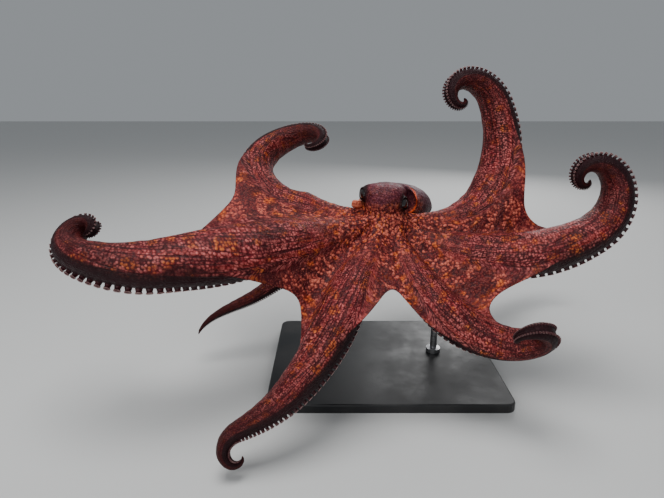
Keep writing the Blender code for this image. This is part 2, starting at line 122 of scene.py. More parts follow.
# each web: rows along its arms, where its hem dips to, and how sharp the dip is
WEBS = {
    "web_r1_r2": (13, 0.166, 0.8), "web_r2_r3": (15, 0.203, 0.8),
    "web_r3_r4": (9, 0.120, 0.8), "web_r4_l4": (8, 0.105, 0.8),
    "web_l4_l3": (9, 0.120, 0.8), "web_l3_l2": (15, 0.200, 0.8),
    "web_l2_l1": (12, 0.179, 0.8), "web_l1_r1": (10, 0.113, 1.0),
}
RING = tuple(ARMS)
print(len(ARMS), "arms, the longest", max(a["length"] for a in ARMS.values()), "m")


# %% Follow a pose from the mouth to the tip
def ramp(value, start, end):
    """From 0 at start to 1 at end, smooth at both."""
    share = np.clip((value - start) / (end - start), 0.0, 1.0)
    return share * share * (3.0 - 2.0 * share)


def keyed(values, share):
    """Value at a share of the way through evenly spaced keys, eased between them."""
    place = min(max(share, 0.0), 1.0) * (len(values) - 1)
    first = min(int(place), len(values) - 2)
    ease = float(ramp(place - first, 0.0, 1.0))
    return values[first] * (1.0 - ease) + values[first + 1] * ease


def turned(vector, axis, degrees):
    return Matrix.Rotation(math.radians(degrees), 3, axis) @ vector


def roll_done(share, start, ease):
    """Share of a tip's roll that is complete: a curve that tightens toward the end."""
    here = min(max(share, start), 1.0)
    whole = math.log((1.0 - start + ease) / ease)
    return math.log((1.0 - start + ease) / (1.0 - here + ease)) / whole


def follow(pose):
    """The arm's points and its directions along and up, at FINE_STEPS + 1 even places."""
    tilt = math.radians(CROWN_TILT)
    axis = Vector((0.0, -math.sin(tilt), math.cos(tilt)))
    front = Vector((0.0, -math.cos(tilt), -math.sin(tilt)))
    around = math.radians(pose["around"])
    outward = front * math.cos(around) + Vector((1.0, 0.0, 0.0)) * math.sin(around)
    dip = math.radians(pose["dip"])
    along = outward * math.cos(dip) - axis * math.sin(dip)
    up = turned(axis * math.cos(dip) + outward * math.sin(dip), along, pose["roll"])
    point = HUB.copy()
    frames = [(point.copy(), along.copy(), up.copy())]
    step = pose["length"] / FINE_STEPS
    for i in range(FINE_STEPS):
        share = (i + 0.5) / FINE_STEPS
        rolled = [roll_done(x / FINE_STEPS, pose["coil_from"], pose["ease"])
                  for x in (i, i + 1)]
        curl = keyed(pose["curl"], share) / FINE_STEPS
        curl += pose["coil"] * (rolled[1] - rolled[0])
        swing = keyed(pose["swing"], share) / FINE_STEPS
        for half in (0, 1):
            across = along.cross(up)
            along = turned(along, across, curl / 2)
            up = turned(up, across, curl / 2)
            along = turned(along, up, swing / 2)
            if half == 0:
                point = point + along * step
        up = turned(up, along, keyed(pose["twist"], share) / FINE_STEPS)
        along.normalize()
        up = (up - along * up.dot(along)).normalized()
        frames.append((point.copy(), along.copy(), up.copy()))
    return np.array([[tuple(v) for v in f] for f in frames])


def unit(vectors):
    return vectors / np.linalg.norm(vectors, axis=-1, keepdims=True)


def frame_at(arm, distance):
    """Points and directions (along, up, across) at distances along an arm."""
    place = np.clip(np.asarray(distance) / arm["length"] * FINE_STEPS, 0, FINE_STEPS - 1e-6)
    first = place.astype(int)
    part = (place - first)[..., None]
    point, along, up = (arm["line"][first, k] * (1 - part) + arm["line"][first + 1, k] * part
                        for k in range(3))
    along = unit(along)
    up = unit(up - along * np.sum(up * along, axis=-1, keepdims=True))
    return point, along, up, np.cross(along, up)


def soft_min(a, b):
    return (a ** -4.0 + b ** -4.0) ** -0.25


def breadth(arm, distance):
    """Breadth of an arm: crowded by its neighbours near the hub, then tapering."""
    left = np.maximum(1.0 - distance / arm["length"], 0.0)
    free = arm["breadth"] * left ** arm["fullness"] + TIP_BREADTH
    return soft_min(free, CROWDING * distance ** CROWDING_POWER)


def depth(arm, distance):
    """What an arm's height is reckoned from: near the hub an arm stays deep."""
    left = np.maximum(1.0 - distance / arm["length"], 0.0)
    free = arm["breadth"] * left ** arm["fullness"] + TIP_BREADTH
    return soft_min(free, 0.42 * distance + 0.022)


def side_height(distance):
    """Height of an arm's edge, share of its depth: raised where the web is attached."""
    reach = ARM_START + WEB_PITCH * WEB_ROWS
    share = np.clip((distance - 0.4 * reach) / (0.6 * reach), 0.0, 1.0)
    return SIDE_IN_WEB + (SIDE_FREE - SIDE_IN_WEB) * share


def bottom_height(place):
    """Height of the sucker side, share of the depth, 0 to 1 across it."""
    return BOTTOM_AT + FURROW * np.exp(-((place - 0.5) / FURROW_REACH) ** 2)


arms = {name: dict(pose, name=name, line=follow(pose)) for name, pose in ARMS.items()}
for name in RING:
    tip = arms[name]["line"][-1, 0]
    print(name, "tip at", np.round(tip, 3), "breadth at half way",
          round(float(breadth(arms[name], arms[name]["length"] / 2)), 3))

# %% [markdown]
# ## One skin over the whole animal
# A real octopus has a single skin, so nothing may show where an arm meets the web or the
# head.  Sculpting it by hand would work; here it is laid like dressmaking: a few grids,
# each bent over one region (the upper side of an arm, its sucker side, both faces of each
# web, the neck with head and mantle, and the mouth), whose edges share the same places.
# Welding the shared edges makes one skin, and a subdivision rounds it.
# Each vertex also keeps marks that the finishes read later: "grain" unrolls the animal into
# a drum, so that rows of flecks can follow the arms, and "zone" says where on it we are.

# %% Laying a grid
OVER_COLUMNS = 8                     # cells across the upper side of an arm
OVER_TURN = np.linspace(math.pi, 0.0, OVER_COLUMNS + 1)[None, :]
WEB_COLUMNS = 10                     # cells across a web
TIP_ROWS = 42                        # cells from the web's reach to the tip
ARM_SHARE = 0.62                     # share of a sector that its arm takes, rest is web
DRUM_GIRTH = 0.8                     # round the drum that the pattern is unrolled on
DRUM = DRUM_GIRTH / (2.0 * math.pi)


def marks_at(sector, run, upper, share, web):
    """Marks for the finishes: the drum position, and (upper side, share of arm, web)."""
    sector, run, upper, share, web = np.broadcast_arrays(sector, run, upper, share, web)
    turn = sector * (2.0 * math.pi / 8.0)
    return np.stack([DRUM * np.cos(turn), DRUM * np.sin(turn), run, upper, share, web], -1)


def lay_grid(bm, places, marks):
    """Adds a grid to bm, bent so that its vertices lie at places[row, column]."""
    rows, columns = places.shape[:2]
    grain = bm.verts.layers.float_vector["grain"]
    zone = bm.verts.layers.float_vector["zone"]
    made = bmesh.ops.create_grid(bm, x_segments=columns - 1, y_segments=rows - 1, size=1.0)
    for vert, place, mark in zip(made["verts"], places.reshape(-1, 3), marks.reshape(-1, 6)):
        vert.co = place
        vert[grain] = mark[:3]
        vert[zone] = mark[3:]


# %% [markdown]
# ### Sections of an arm
# Cut across, an arm is a rounded, slightly flattened hump.  Its two edges are where the
# web is attached; the sucker side below them is flatter, with a shallow furrow between the
# two rows of suckers.  Rows lie closer and closer together toward the tip.

# %% Rows and sections of the arms
def rows_of(arm):
    near = ARM_START + WEB_PITCH / 2.0 * np.arange(2 * WEB_ROWS + 1)
    share = np.arange(1, TIP_ROWS + 1) / TIP_ROWS
    return np.concatenate([near, near[-1] + (arm["length"] - near[-1])
                           * (1.0 - (1.0 - share) ** 1.6)])


def run_of(arm, distance):
    """How far the pattern has run: it shrinks with the breadth of the arm."""
    fine = np.linspace(ARM_START, arm["length"], 800)
    steps = np.diff(fine, prepend=ARM_START) / (breadth(arm, fine) + 0.004)
    return 0.1 * np.interp(distance, fine, np.cumsum(steps))


def web_thickness(rows, row):
    """Thickness of a web at half-pitch rows, down to nothing at the hem."""
    share = np.clip(row / (2.0 * rows), 0.0, 1.0)
    return np.where(share < 1.0, WEB_INNER + (WEB_OUTER - WEB_INNER) * share, 0.0)


def arm_edge(arm, distance, side, lower):
    """An arm's edge, or the place that much lower, and the way the web leaves it."""
    point, _, up, across = frame_at(arm, distance)
    wide = breadth(arm, distance)[..., None]
    deep = depth(arm, distance)[..., None]
    lower = np.asarray(lower)[..., None] * np.ones_like(wide)
    height = side_height(distance)[..., None] * deep - lower
    lean = EDGE_AT - 0.02 * lower / (deep * 0.3)
    return point + across * side * lean * wide + up * height, unit(across * side - up * 0.25)


def squarish(wave, flat):
    """A wave raised to a power with its sign kept, which makes a round section boxier."""
    return np.sign(wave) * np.abs(wave) ** flat


def hump(flat):
    """0 at both edges of a section and 1 in its middle, column by column."""
    sine = np.sin(OVER_TURN)
    return np.abs(sine) ** flat * (sine > 1e-9)


def over_grid(arm):
    """Upper side of an arm: rows by columns, from its edge toward the arm before it."""
    distance = arm["rows"][:, None]
    point, _, up, across = frame_at(arm, arm["rows"])
    flat = 2.0 / 2.15
    sideways = EDGE_AT * squarish(np.cos(OVER_TURN), flat) * breadth(arm, distance)
    side = side_height(distance)
    height = (side + (TOP_AT - side) * hump(flat)) * depth(arm, distance)
    height += (arm["shoulder"] * hump(flat)
               * np.exp(-((distance - SHOULDER_AT) / SHOULDER_REACH) ** 2))
    return (point[:, None] + across[:, None] * sideways[..., None]
            + up[:, None] * height[..., None])


def under_grid(arm, before, after):
    """Sucker side of an arm, between the lower faces of the webs before and after it."""
    rows = arm["rows"]
    count = np.arange(len(rows))
    left, _ = arm_edge(arm, rows, -1.0, web_thickness(before, count))
    right, _ = arm_edge(arm, rows, 1.0, web_thickness(after, count))
    point, _, up, _ = frame_at(arm, rows)
    flat = 2.0 / 2.3
    place = 0.5 * (1.0 - squarish(np.cos(OVER_TURN), flat))
    deep = depth(arm, rows)[:, None]
    rim = right[:, None] * (1.0 - place[..., None]) + left[:, None] * place[..., None]
    rim_height = np.sum((rim - point[:, None]) * up[:, None], axis=-1)
    drop = (bottom_height(place) * deep - rim_height) * hump(flat)
    return rim + up[:, None] * drop[..., None]


def upper_marks(arm, before, after, above):
    """1 on the upper side, 0 on the sucker side, and half way along the free edges."""
    row = np.arange(len(arm["rows"]) + 1)[:, None]
    webs = np.where(np.cos(OVER_TURN) < 0.0, 2 * before, 2 * after)
    inner = np.abs(np.sin(OVER_TURN)) ** 0.5
    return np.where(row < webs, above, 0.5 + (above - 0.5) * inner)


def closed_tip(arm, places):
    """The grid with one more row that draws the tip to a point."""
    point, along, _, _ = frame_at(arm, np.array([arm["length"]]))
    end = point + along * 0.0007
    return np.concatenate([places, np.repeat(end[:, None], places.shape[1], axis=1)])


for name in RING:
    arms[name]["rows"] = rows_of(arms[name])
print("rows of an arm:", len(arms["arm_r2"]["rows"]))

# %% [markdown]
# ### The web
# The web is a thin fold of skin that runs from arm to arm.  Its hem hangs in a curve, lowest
# half way between the arms.  Each face is a grid: every row starts at one arm's edge,
# leaves it sideways and a little downward, and lands on the next arm's edge (a Bezier
# curve).  The two faces meet at the hem.


# %% Faces of a web
def bezier(a, b, c, d, t):
    u = 1.0 - t
    return a * u ** 3 + b * (3.0 * u * u * t) + c * (3.0 * u * t * t) + d * t ** 3


def web_faces(first, second, rows, hem, sharpness):
    """Both faces of a web: rows outward, columns from the first arm to the second."""
    edge = ARM_START + WEB_PITCH * rows
    t = np.linspace(0.0, 1.0, WEB_COLUMNS + 1)[None, :]
    end = edge - (edge - hem) * np.sin(math.pi * t) ** sharpness
    row = np.arange(2 * rows + 1)[:, None]
    distance = ARM_START + (end - ARM_START) * row / (2.0 * rows)
    thick = web_thickness(rows, row) * np.ones_like(distance)
    faces = []
    for drop in (0.0 * thick, thick):
        a, out_a = arm_edge(first, distance, 1.0, drop)
        b, out_b = arm_edge(second, distance, -1.0, drop)
        reach = 0.30 * np.linalg.norm(b - a, axis=-1, keepdims=True)
        faces.append(bezier(a, a + out_a * reach, b + out_b * reach, b, t[..., None]))
    upper, under = faces
    # a steep web would be thin straight through: its upper face is raised there
    normal = unit(np.cross(np.gradient(upper, axis=1), np.gradient(upper, axis=0)))
    lacking = WEB_LEAST * thick - np.sum(normal * (upper - under), axis=-1)
    share = np.sin(math.pi * t) ** 2
    upper = upper + normal * (np.maximum(lacking, 0.0) * share)[..., None]
    run = (1 - t) * run_of(first, distance) + t * run_of(second, distance)
    along = (1 - t) * distance / first["length"] + t * distance / second["length"]
    return (upper, under), run, along, t


# %% [markdown]
# ### The crown
# Round the head the bases of the arms run together into one thick, smooth mass.  So the
# upper faces are raised there, most beside the neck and less and less outward.


# %% Raise the crown
CROWN_LIFT = 0.0075
CROWN_FLAT, CROWN_REACH = 0.03, 0.040  # full lift within the one, fading over the other


def raised(places):
    """Places on the upper side, lifted along the crown's axis near the hub."""
    tilt = math.radians(CROWN_TILT)
    axis = np.array((0.0, -0.5 * math.sin(tilt), math.cos(tilt)))
    away = np.linalg.norm(places - np.array(HUB), axis=-1, keepdims=True)
    lift = CROWN_LIFT * np.exp(-(np.maximum(away - CROWN_FLAT, 0.0) / CROWN_REACH) ** 2)
    left_side = np.clip(places[..., :1] / 0.045, 0.0, 1.0)
    return places + axis * lift * (1.0 - 0.8 * left_side)


# %% Lay the arms and the webs
skin = bmesh.new()
skin.verts.layers.float_vector.new("grain")
skin.verts.layers.float_vector.new("zone")
webs = list(WEBS.values())
top_ring = []
mouth_ring = []
top_sectors = []
for place, name in enumerate(RING):
    arm = arms[name]
    before = webs[place - 1][0]
    after, hem, sharpness = webs[place]
    after_arm = arms[RING[(place + 1) % len(RING)]]
    sector = place + ARM_SHARE * np.linspace(0.0, 1.0, OVER_COLUMNS + 1)[None, :]
    run = run_of(arm, np.append(arm["rows"], arm["length"]))[:, None]
    share = np.append(arm["rows"], arm["length"])[:, None] / arm["length"]
    over = raised(over_grid(arm))
    under = under_grid(arm, before, after)
    for places, above in ((over, 1.0), (under, 0.0)):
        upper = upper_marks(arm, before, after, above)
        lay_grid(skin, closed_tip(arm, places), marks_at(sector, run, upper, share, 0.0))
    faces, run, share, t = web_faces(arm, after_arm, after, hem, sharpness)
    faces = (raised(faces[0]), faces[1])
    sector_web = place + ARM_SHARE + (1.0 - ARM_SHARE) * t
    middle = np.abs(np.sin(math.pi * t)) ** 0.5
    for places, above in zip(faces, (1.0, 0.0)):
        upper = np.where(np.arange(2 * after + 1)[:, None] < 2 * after, above, 0.5)
        lay_grid(skin, places, marks_at(sector_web, run, upper, share, middle))
    top_ring += list(over[0, :-1]) + list(faces[0][0, :-1])
    mouth_ring += list(under[0, :-1]) + list(faces[1][0, :-1])
    top_sectors += list(sector[0, :-1]) + list(sector_web[0, :-1])
print("skin of arms and webs:", len(skin.verts), "vertices;",
      len(top_ring), "round the crown,", len(mouth_ring), "round the mouth")

# %% [markdown]
# ### Neck, head and mantle
# The head is a small, boxy knob on the crown of arms; the mantle, the sack that holds the
# organs, lies behind it.  Both are one tube of rings.  The rings start level at the neck,
# swing up like the pages of a book over the face and the brow until they stand upright at
# the nape, and then run back along the mantle to its end.  Below and at the sides the tube
# folds forward and back again at the nape: that fold is the lip of the mantle's opening,
# through which the animal breathes.

# %% Rings of the body
BODY_TURN = 22.0
FACE_TURN = 13.0                     # the face looks straighter ahead than the body lies
HEAD_AT = Vector((-0.005, 0.003, 0.254))


def level_ways(degrees):
    """The ways ahead and across, to the animal's left, of a body turned that far."""
    turn = math.radians(degrees)
    return (Vector((-math.sin(turn), -math.cos(turn), 0.0)),
            Vector((math.cos(turn), -math.sin(turn), 0.0)))


AHEAD, ACROSS = level_ways(BODY_TURN)
FACE_AHEAD, FACE_ACROSS = level_ways(BODY_TURN - FACE_TURN)
UP = Vector((0.0, 0.0, 1.0))
# front or top (ahead, up), rear or underside (ahead, up), half breadth, offset, squareness
HEAD_RINGS = (
    (0.0300, -0.0270, -0.0245, -0.0270, 0.0290, 0.0030, 2.0),
    (0.0290, -0.0215, -0.0262, -0.0232, 0.0268, 0.0015, 2.0),
    (0.0290, -0.0160, -0.0278, -0.0208, 0.0254, 0.0005, 2.1),
    (0.0300, -0.0095, -0.0290, -0.0195, 0.0250, 0.0000, 2.2),
    (0.0308, -0.0025, -0.0302, -0.0188, 0.0250, 0.0000, 2.3),
    (0.0305, 0.0050, -0.0314, -0.0183, 0.0250, 0.0000, 2.5),
    (0.0275, 0.0115, -0.0324, -0.0180, 0.0252, 0.0000, 2.8),
    (0.0195, 0.0156, -0.0332, -0.0178, 0.0252, 0.0000, 3.0),
    (0.0060, 0.0168, -0.0337, -0.0175, 0.0248, 0.0000, 2.9),
    (-0.0090, 0.0166, -0.0341, -0.0172, 0.0240, 0.0000, 2.6),
    (-0.0225, 0.0154, -0.0343, -0.0170, 0.0230, 0.0000, 2.4),
    (-0.0345, 0.0138, -0.0345, -0.0168, 0.0218, 0.0000, 2.2),
)
# the fold at the mantle's opening: (ahead, half breadth, half height, rise)
FOLD = (
    (-0.0420, 0.0222, 0.0148, -0.0045), (-0.0440, 0.0300, 0.0196, -0.0078),
    (-0.0380, 0.0348, 0.0220, -0.0088), (-0.0300, 0.0368, 0.0230, -0.0092),
    (-0.0250, 0.0382, 0.0237, -0.0096), (-0.0232, 0.0398, 0.0246, -0.0102),
    (-0.0245, 0.0414, 0.0256, -0.0110), (-0.0340, 0.0428, 0.0262, -0.0130),
)
MANTLE = (
    (-0.0460, 0.0450, 0.0272, -0.0165), (-0.0600, 0.0465, 0.0288, -0.0205),
    (-0.0860, 0.0475, 0.0298, -0.0275), (-0.1110, 0.0445, 0.0282, -0.0350),
    (-0.1340, 0.0370, 0.0238, -0.0420), (-0.1530, 0.0260, 0.0172, -0.0480),
    (-0.1630, 0.0160, 0.0108, -0.0512), (-0.1668, 0.0070, 0.0050, -0.0525),
)
NECK_ROWS = 6
SUNK_ROWS = 6                        # first rings of the head that must not sink in the crown
EVEN_ROW = 12.0                      # ring of the head from which places are evenly spread
FACE_ROW = 7.0                       # ring from which the whole turn of the face counts
OPENING_BEARINGS = (math.radians(50.0), math.radians(84.0))   # no fold, and all of it
LEAST_ROUND = 0.12                   # girth under which the pattern no longer shrinks


def face_turned(places, share):
    """The front of the head turned about its upright axis, the nape left where it is."""
    away = places - np.array(HEAD_AT)
    x = away @ np.array(AHEAD)
    y = away @ np.array(ACROSS)
    bend = math.radians(FACE_TURN) * share * ramp(x, -0.034, -0.006)
    c = np.cos(bend)
    s = np.sin(bend)
    return (np.array(HEAD_AT) + (x * c - y * s)[:, None] * np.array(AHEAD)
            + (x * s + y * c)[:, None] * np.array(ACROSS)
            + away[:, 2:] * np.array(UP))


def spline(keys, cells):
    """Catmull-Rom curve through rows of numbers, with that many cells between each two."""
    keys = np.array(keys, float)
    padded = np.concatenate([[2 * keys[0] - keys[1]], keys, [2 * keys[-1] - keys[-2]]])
    out = []
    for i in range(len(keys) - 1):
        a, b, c, d = padded[i:i + 4]
        for t in np.arange(cells) / cells:
            out.append(0.5 * (2 * b + (c - a) * t + (2 * a - 5 * b + 4 * c - d) * t ** 2
                              + (3 * b - a - 3 * c + d) * t ** 3))
    return np.array(out + [keys[-1]])


def ring_points(entry, angle):
    """Places on one ring; the angle counts from the front or top, left side positive."""
    front = np.array((entry[0], entry[1]))
    rear = np.array((entry[2], entry[3]))
    middle = 0.5 * (front + rear)
    rise = 0.5 * (front - rear)
    flat = 2.0 / entry[6]
    c = squarish(np.cos(angle), flat)
    x = middle[0] + rise[0] * c
    z = middle[1] + rise[1] * c
    y = entry[5] + entry[4] * squarish(np.sin(angle), flat)
    return (np.array(HEAD_AT) + x[:, None] * np.array(AHEAD) + y[:, None] * np.array(ACROSS)
            + z[:, None] * np.array(UP))


def upright(entry):
    distance, half_wide, half_high, rise = entry
    return (distance, rise + half_high, distance, rise - half_high, half_wide, 0.0, 2.2)


# %% Lay the neck, the head and the mantle
ring = np.array(top_ring)
columns = len(ring)
flat_way = ring - np.array(HUB)
ahead_part = flat_way @ np.array(AHEAD)
across_part = flat_way @ np.array(ACROSS)
bearing = np.unwrap(np.arctan2(across_part, ahead_part))
even = -2.0 * math.pi * np.arange(columns) / columns
even += np.mean(bearing - even)
head_rows = spline(HEAD_RINGS, 2)
mantle_rows = spline([upright(m) for m in MANTLE], 2)
rings = []
for k, entry in enumerate(head_rows):
    ease = ramp(k, 0.0, EVEN_ROW)
    angle = bearing * (1.0 - ease) + even * ease
    places = ring_points(entry, angle)
    # beside the crown the neck never sinks below it
    least = ring[:, 2] + 0.0035 + 0.0016 * k
    over = 0.5 * (places[:, 2] - least + np.hypot(places[:, 2] - least, 0.004))
    if k < SUNK_ROWS:
        places[:, 2] = (places[:, 2] * k / SUNK_ROWS
                        + (least + over) * (1.0 - k / SUNK_ROWS))
    rings.append(face_turned(places, ramp(k, 0.0, FACE_ROW)))
side = np.abs((even + math.pi) % (2.0 * math.pi) - math.pi)
opening = ramp(side, *OPENING_BEARINGS)[:, None]
last = rings[-1]
first = ring_points(mantle_rows[0], even)
for k, entry in enumerate(FOLD):
    share = (k + 1.0) / (len(FOLD) + 1.0)
    plain = last * (1.0 - share) + first * share
    rings.append(plain * (1.0 - opening) + ring_points(upright(entry), even) * opening)
for entry in mantle_rows:
    rings.append(ring_points(entry, even))
rings.append(np.repeat(np.mean(rings[-1], axis=0)[None], columns, axis=0)
             - np.array(AHEAD) * 0.002)
# between the crown and the neck: a smooth slope that starts flat and ends upright
neck = rings[0]
inward = unit(neck - ring)
slope = np.linalg.norm(neck - ring, axis=1, keepdims=True)
start_way = inward * slope * np.array((1.0, 1.0, 0.35))
end_way = rings[1] - rings[0]
end_way = unit(end_way) * slope * 0.9
shoulder = []
for k in range(NECK_ROWS):
    t = k / NECK_ROWS
    shoulder.append(ring * (2 * t ** 3 - 3 * t ** 2 + 1) + start_way * (t ** 3 - 2 * t ** 2 + t)
                    + neck * (3 * t ** 2 - 2 * t ** 3) + end_way * (t ** 3 - t ** 2))
body = np.array(shoulder + rings)
body = np.concatenate([body, body[:, :1]], axis=1)
sectors = np.append(np.array(top_sectors), 8.0)[None, :]
paths = np.cumsum(np.linalg.norm(np.diff(body, axis=0, prepend=body[:1]), axis=-1), axis=0)
rounds = np.linalg.norm(np.diff(body, axis=1), axis=-1).sum(axis=1)
rounds = np.maximum(rounds, LEAST_ROUND)
climb = -DRUM_GIRTH * np.cumsum(np.diff(paths.mean(axis=1), prepend=0.0) / rounds)
zone_head = np.clip(np.arange(len(body)) / NECK_ROWS, 0.0, 1.0)
lip_row = NECK_ROWS + len(head_rows) + 4.5
lip = np.exp(-((np.arange(len(body)) - lip_row) / 1.3) ** 2)[:, None]
lay_grid(skin, body, marks_at(sectors, climb[:, None], 1.0, -zone_head[:, None], lip))
print("body rings:", len(body), "of", columns, "places")

# %% [markdown]
# ### The funnel
# The funnel is the short pipe that the animal breathes out and swims with.  It comes out of
# the mantle's opening on the right and bends outward: a tube with a wall, open at its end,
# whose root stays hidden in the opening.

# %% Lay the funnel
FUNNEL_ROOT = Vector((-0.0252, 0.0345, -0.0135))
FUNNEL_ELBOW = Vector((-0.0290, -0.0080, -0.0110))
FUNNEL_TIP = Vector((-0.0430, -0.0038, -0.0090))
# (share of the way, radius): up the outside, over the lip, and back inside
FUNNEL_RINGS = ((0.0, 0.0), (0.0, 0.0054), (0.12, 0.0058), (0.28, 0.0060), (0.44, 0.0059),
                (0.60, 0.0057), (0.74, 0.0054), (0.86, 0.0051), (0.95, 0.0044), (1.0, 0.0036),
                (1.0, 0.0030), (0.95, 0.0028), (0.80, 0.0030), (0.62, 0.0030), (0.60, 0.0))
FUNNEL_SIDES = 24
RIM_RING = 9                         # the ring at the open end; those after it lie inside
angle = np.linspace(0.0, 2.0 * math.pi, FUNNEL_SIDES + 1)
tube = []
for share, radius in FUNNEL_RINGS:
    before = FUNNEL_ROOT.lerp(FUNNEL_ELBOW, share)
    after = FUNNEL_ELBOW.lerp(FUNNEL_TIP, share)
    centre = HEAD_AT + before.lerp(after, share)
    line = (after - before).normalized()
    side_way = line.cross(UP).normalized()
    other = line.cross(side_way)
    ripple = 1.0 + 0.05 * np.sin(5.0 * angle + 9.0 * share)
    tube.append(np.array(centre) + radius * ripple[:, None] * (
        np.cos(angle)[:, None] * np.array(side_way) + np.sin(angle)[:, None] * np.array(other)))
tube = np.array(tube)
tube[:, -1] = tube[:, 0]
outside = (np.arange(len(FUNNEL_RINGS)) <= RIM_RING).astype(float)[:, None]
lay_grid(skin, tube, marks_at(angle[None, :] / 6.0, 0.0, outside, -2.0, 0.0))
print("funnel opens at", np.round(tube[RIM_RING].mean(axis=0), 3))

# %% [markdown]
# ### The mouth
# Under the crown the arms meet round the mouth: a puckered lip with the tip of a dark,
# parrot-like beak in it.  The lip is the last ring of the skin, turned over into a pit.

# %% Lay the mouth
MOUTH_DEPTH = 0.0175                 # below the middle of the crown
tilt = math.radians(CROWN_TILT)
CROWN_AXIS = Vector((0.0, -math.sin(tilt), math.cos(tilt)))
MOUTH = HUB - CROWN_AXIS * MOUTH_DEPTH
# (radius, depth below the mouth's middle)
LIP = ((0.0200, -0.0010), (0.0150, 0.0020), (0.0115, 0.0045), (0.0085, 0.0050),
       (0.0066, 0.0035), (0.0060, 0.0000), (0.0056, -0.0050), (0.0020, -0.0070),
       (0.0000, -0.0075))
ring = np.array(mouth_ring)
axis = np.array(CROWN_AXIS)
centre = np.array(MOUTH)
ways = ring - centre
ways = unit(ways - (ways @ axis)[:, None] * axis)
PUCKERS = 18.0                       # small folds round the lip
pucker = 1.0 + 0.07 * np.cos(PUCKERS * 2.0 * math.pi * np.arange(len(ring)) / len(ring))
mouth = [ring]
for k, (radius, drop) in enumerate(LIP):
    wave = pucker[:, None] if 2 <= k <= 5 else 1.0
    target = centre + ways * radius * wave - axis * drop
    if k == 0:
        mouth.append(ring * 0.5 + target * 0.5)
    mouth.append(target)
mouth = np.array(mouth)
mouth = np.concatenate([mouth, mouth[:, :1]], axis=1)
depth_marks = -0.02 * np.arange(len(mouth))[:, None]
lay_grid(skin, mouth, marks_at(sectors, depth_marks, 0.0, 0.0, 0.0))
print("mouth at", np.round(centre, 3))

# %% [markdown]
# ### Welding and rounding the skin
# The grids touch, so a merge by distance welds them.  After that the normals are set to
# point outward, the fillets between arms and web are relaxed, and one level of subdivision
# rounds everything.

# %% Weld, relax, subdivide
bmesh.ops.remove_doubles(skin, verts=skin.verts, dist=4e-6)
bmesh.ops.dissolve_degenerate(skin, edges=skin.edges, dist=1e-7)
bmesh.ops.recalc_face_normals(skin, faces=skin.faces)
if skin.calc_volume(signed=True) < 0.0:
    bmesh.ops.reverse_faces(skin, faces=skin.faces)
# the hems of a web's two faces can miss each other by a little; only edges still open merge
bmesh.ops.remove_doubles(skin, verts=[v for v in skin.verts if v.is_boundary], dist=3e-4)
odd_edges = [e for e in skin.edges if not e.is_manifold]
print("skin:", len(skin.verts), "vertices,", len(skin.faces), "faces,",
      len(odd_edges), "edges not manifold,", round(skin.calc_volume() * 1000, 2), "litres")
zone = skin.verts.layers.float_vector["zone"]
# (shares of an arm between which its upper side is relaxed, how many times)
FILLETS = ((0.02, 0.62, 3), (0.02, 0.36, 5), (-0.5, 0.24, 6), (-0.9, 0.15, 10))
for least, reach, times in FILLETS:
    fillets = [v for v in skin.verts if least < v[zone].y < reach and v[zone].x > 0.9]
    for _ in range(times):
        bmesh.ops.smooth_vert(skin, verts=fillets, factor=0.5,
                              use_axis_x=True, use_axis_y=True, use_axis_z=True)


def object_of(name, bm, smooth=True):
    """A new object at the origin with the bmesh as its mesh."""
    mesh = bpy.data.meshes.new(name)
    bm.to_mesh(mesh)
    bm.free()
    if smooth:
        mesh.shade_smooth()
    made = bpy.data.objects.new(name, mesh)
    bpy.context.scene.collection.objects.link(made)
    return made


def applied(made):
    """The object with its modifiers applied to its mesh."""
    graph = bpy.context.evaluated_depsgraph_get()
    mesh = bpy.data.meshes.new_from_object(made.evaluated_get(graph))
    made.modifiers.clear()
    made.data = mesh
    return made


skin_piece = object_of("skin", skin)
rounder = skin_piece.modifiers.new("round", "SUBSURF")
rounder.levels = 1
rounder.render_levels = 1
applied(skin_piece)
print("rounded skin:", len(skin_piece.data.polygons), "faces")

# %% [markdown]
# ### Lids and brows
# An octopus eye is a ball under a hood of skin: the skin climbs over it and leaves an
# opening, wider than high, with a thick rim.  Each brow is a soft swelling above it.  One
# could sculpt this by hand.  Here the skin round each eye is divided finer, pushed out to
# a shell just over the eyeball, and pushed in behind the eyeball's surface within the
# opening, so that the skin stays one piece.

# %% Lids and brows
EYE_RADIUS = 0.0085
EYE_OUT = 0.0238                     # place from the head's middle
EYE_AHEAD = 0.0080
EYE_UP = -0.0018
EYE_TIP = 0.0058                     # the right eye is that much higher, the left lower
EYE_LOOKS = (0.84, 0.52, 0.10)       # how far it looks out, ahead and up
LID = 0.0014                         # thickness of a lid over the eyeball
LID_RIM = 0.0008                     # how much thicker at the opening
LID_REACH = 0.0175                   # how far from the eye's middle the lids reach
OPENING_LONG = 0.0080                # half the opening, along and up
OPENING_HIGH = 0.0074
BROW = 0.0036                        # height of the swelling above an eye
BROW_UP, BROW_IN = 0.0130, 0.0040    # where it lies from the eye's middle
BROW_REACH = 0.0105


def eye_frame(side):
    """Middle of an eye, the way it looks out, and the ways along and up its opening."""
    place = (HEAD_AT + FACE_AHEAD * EYE_AHEAD + FACE_ACROSS * (EYE_OUT * side)
             + UP * (EYE_UP - EYE_TIP * side))
    out = (FACE_ACROSS * (EYE_LOOKS[0] * side) + FACE_AHEAD * EYE_LOOKS[1]
           + UP * EYE_LOOKS[2]).normalized()
    along = (FACE_AHEAD - out * FACE_AHEAD.dot(out)).normalized()
    return place, out, along, out.cross(along) * side


def vectors_of(data, key):
    """A vector of every vertex, as an array with a row for each."""
    values = np.empty(len(data) * 3)
    data.foreach_get(key, values)
    return values.reshape(-1, 3)


def smooth_max(a, b, reach):
    return 0.5 * (a + b + np.sqrt((a - b) ** 2 + reach * reach))


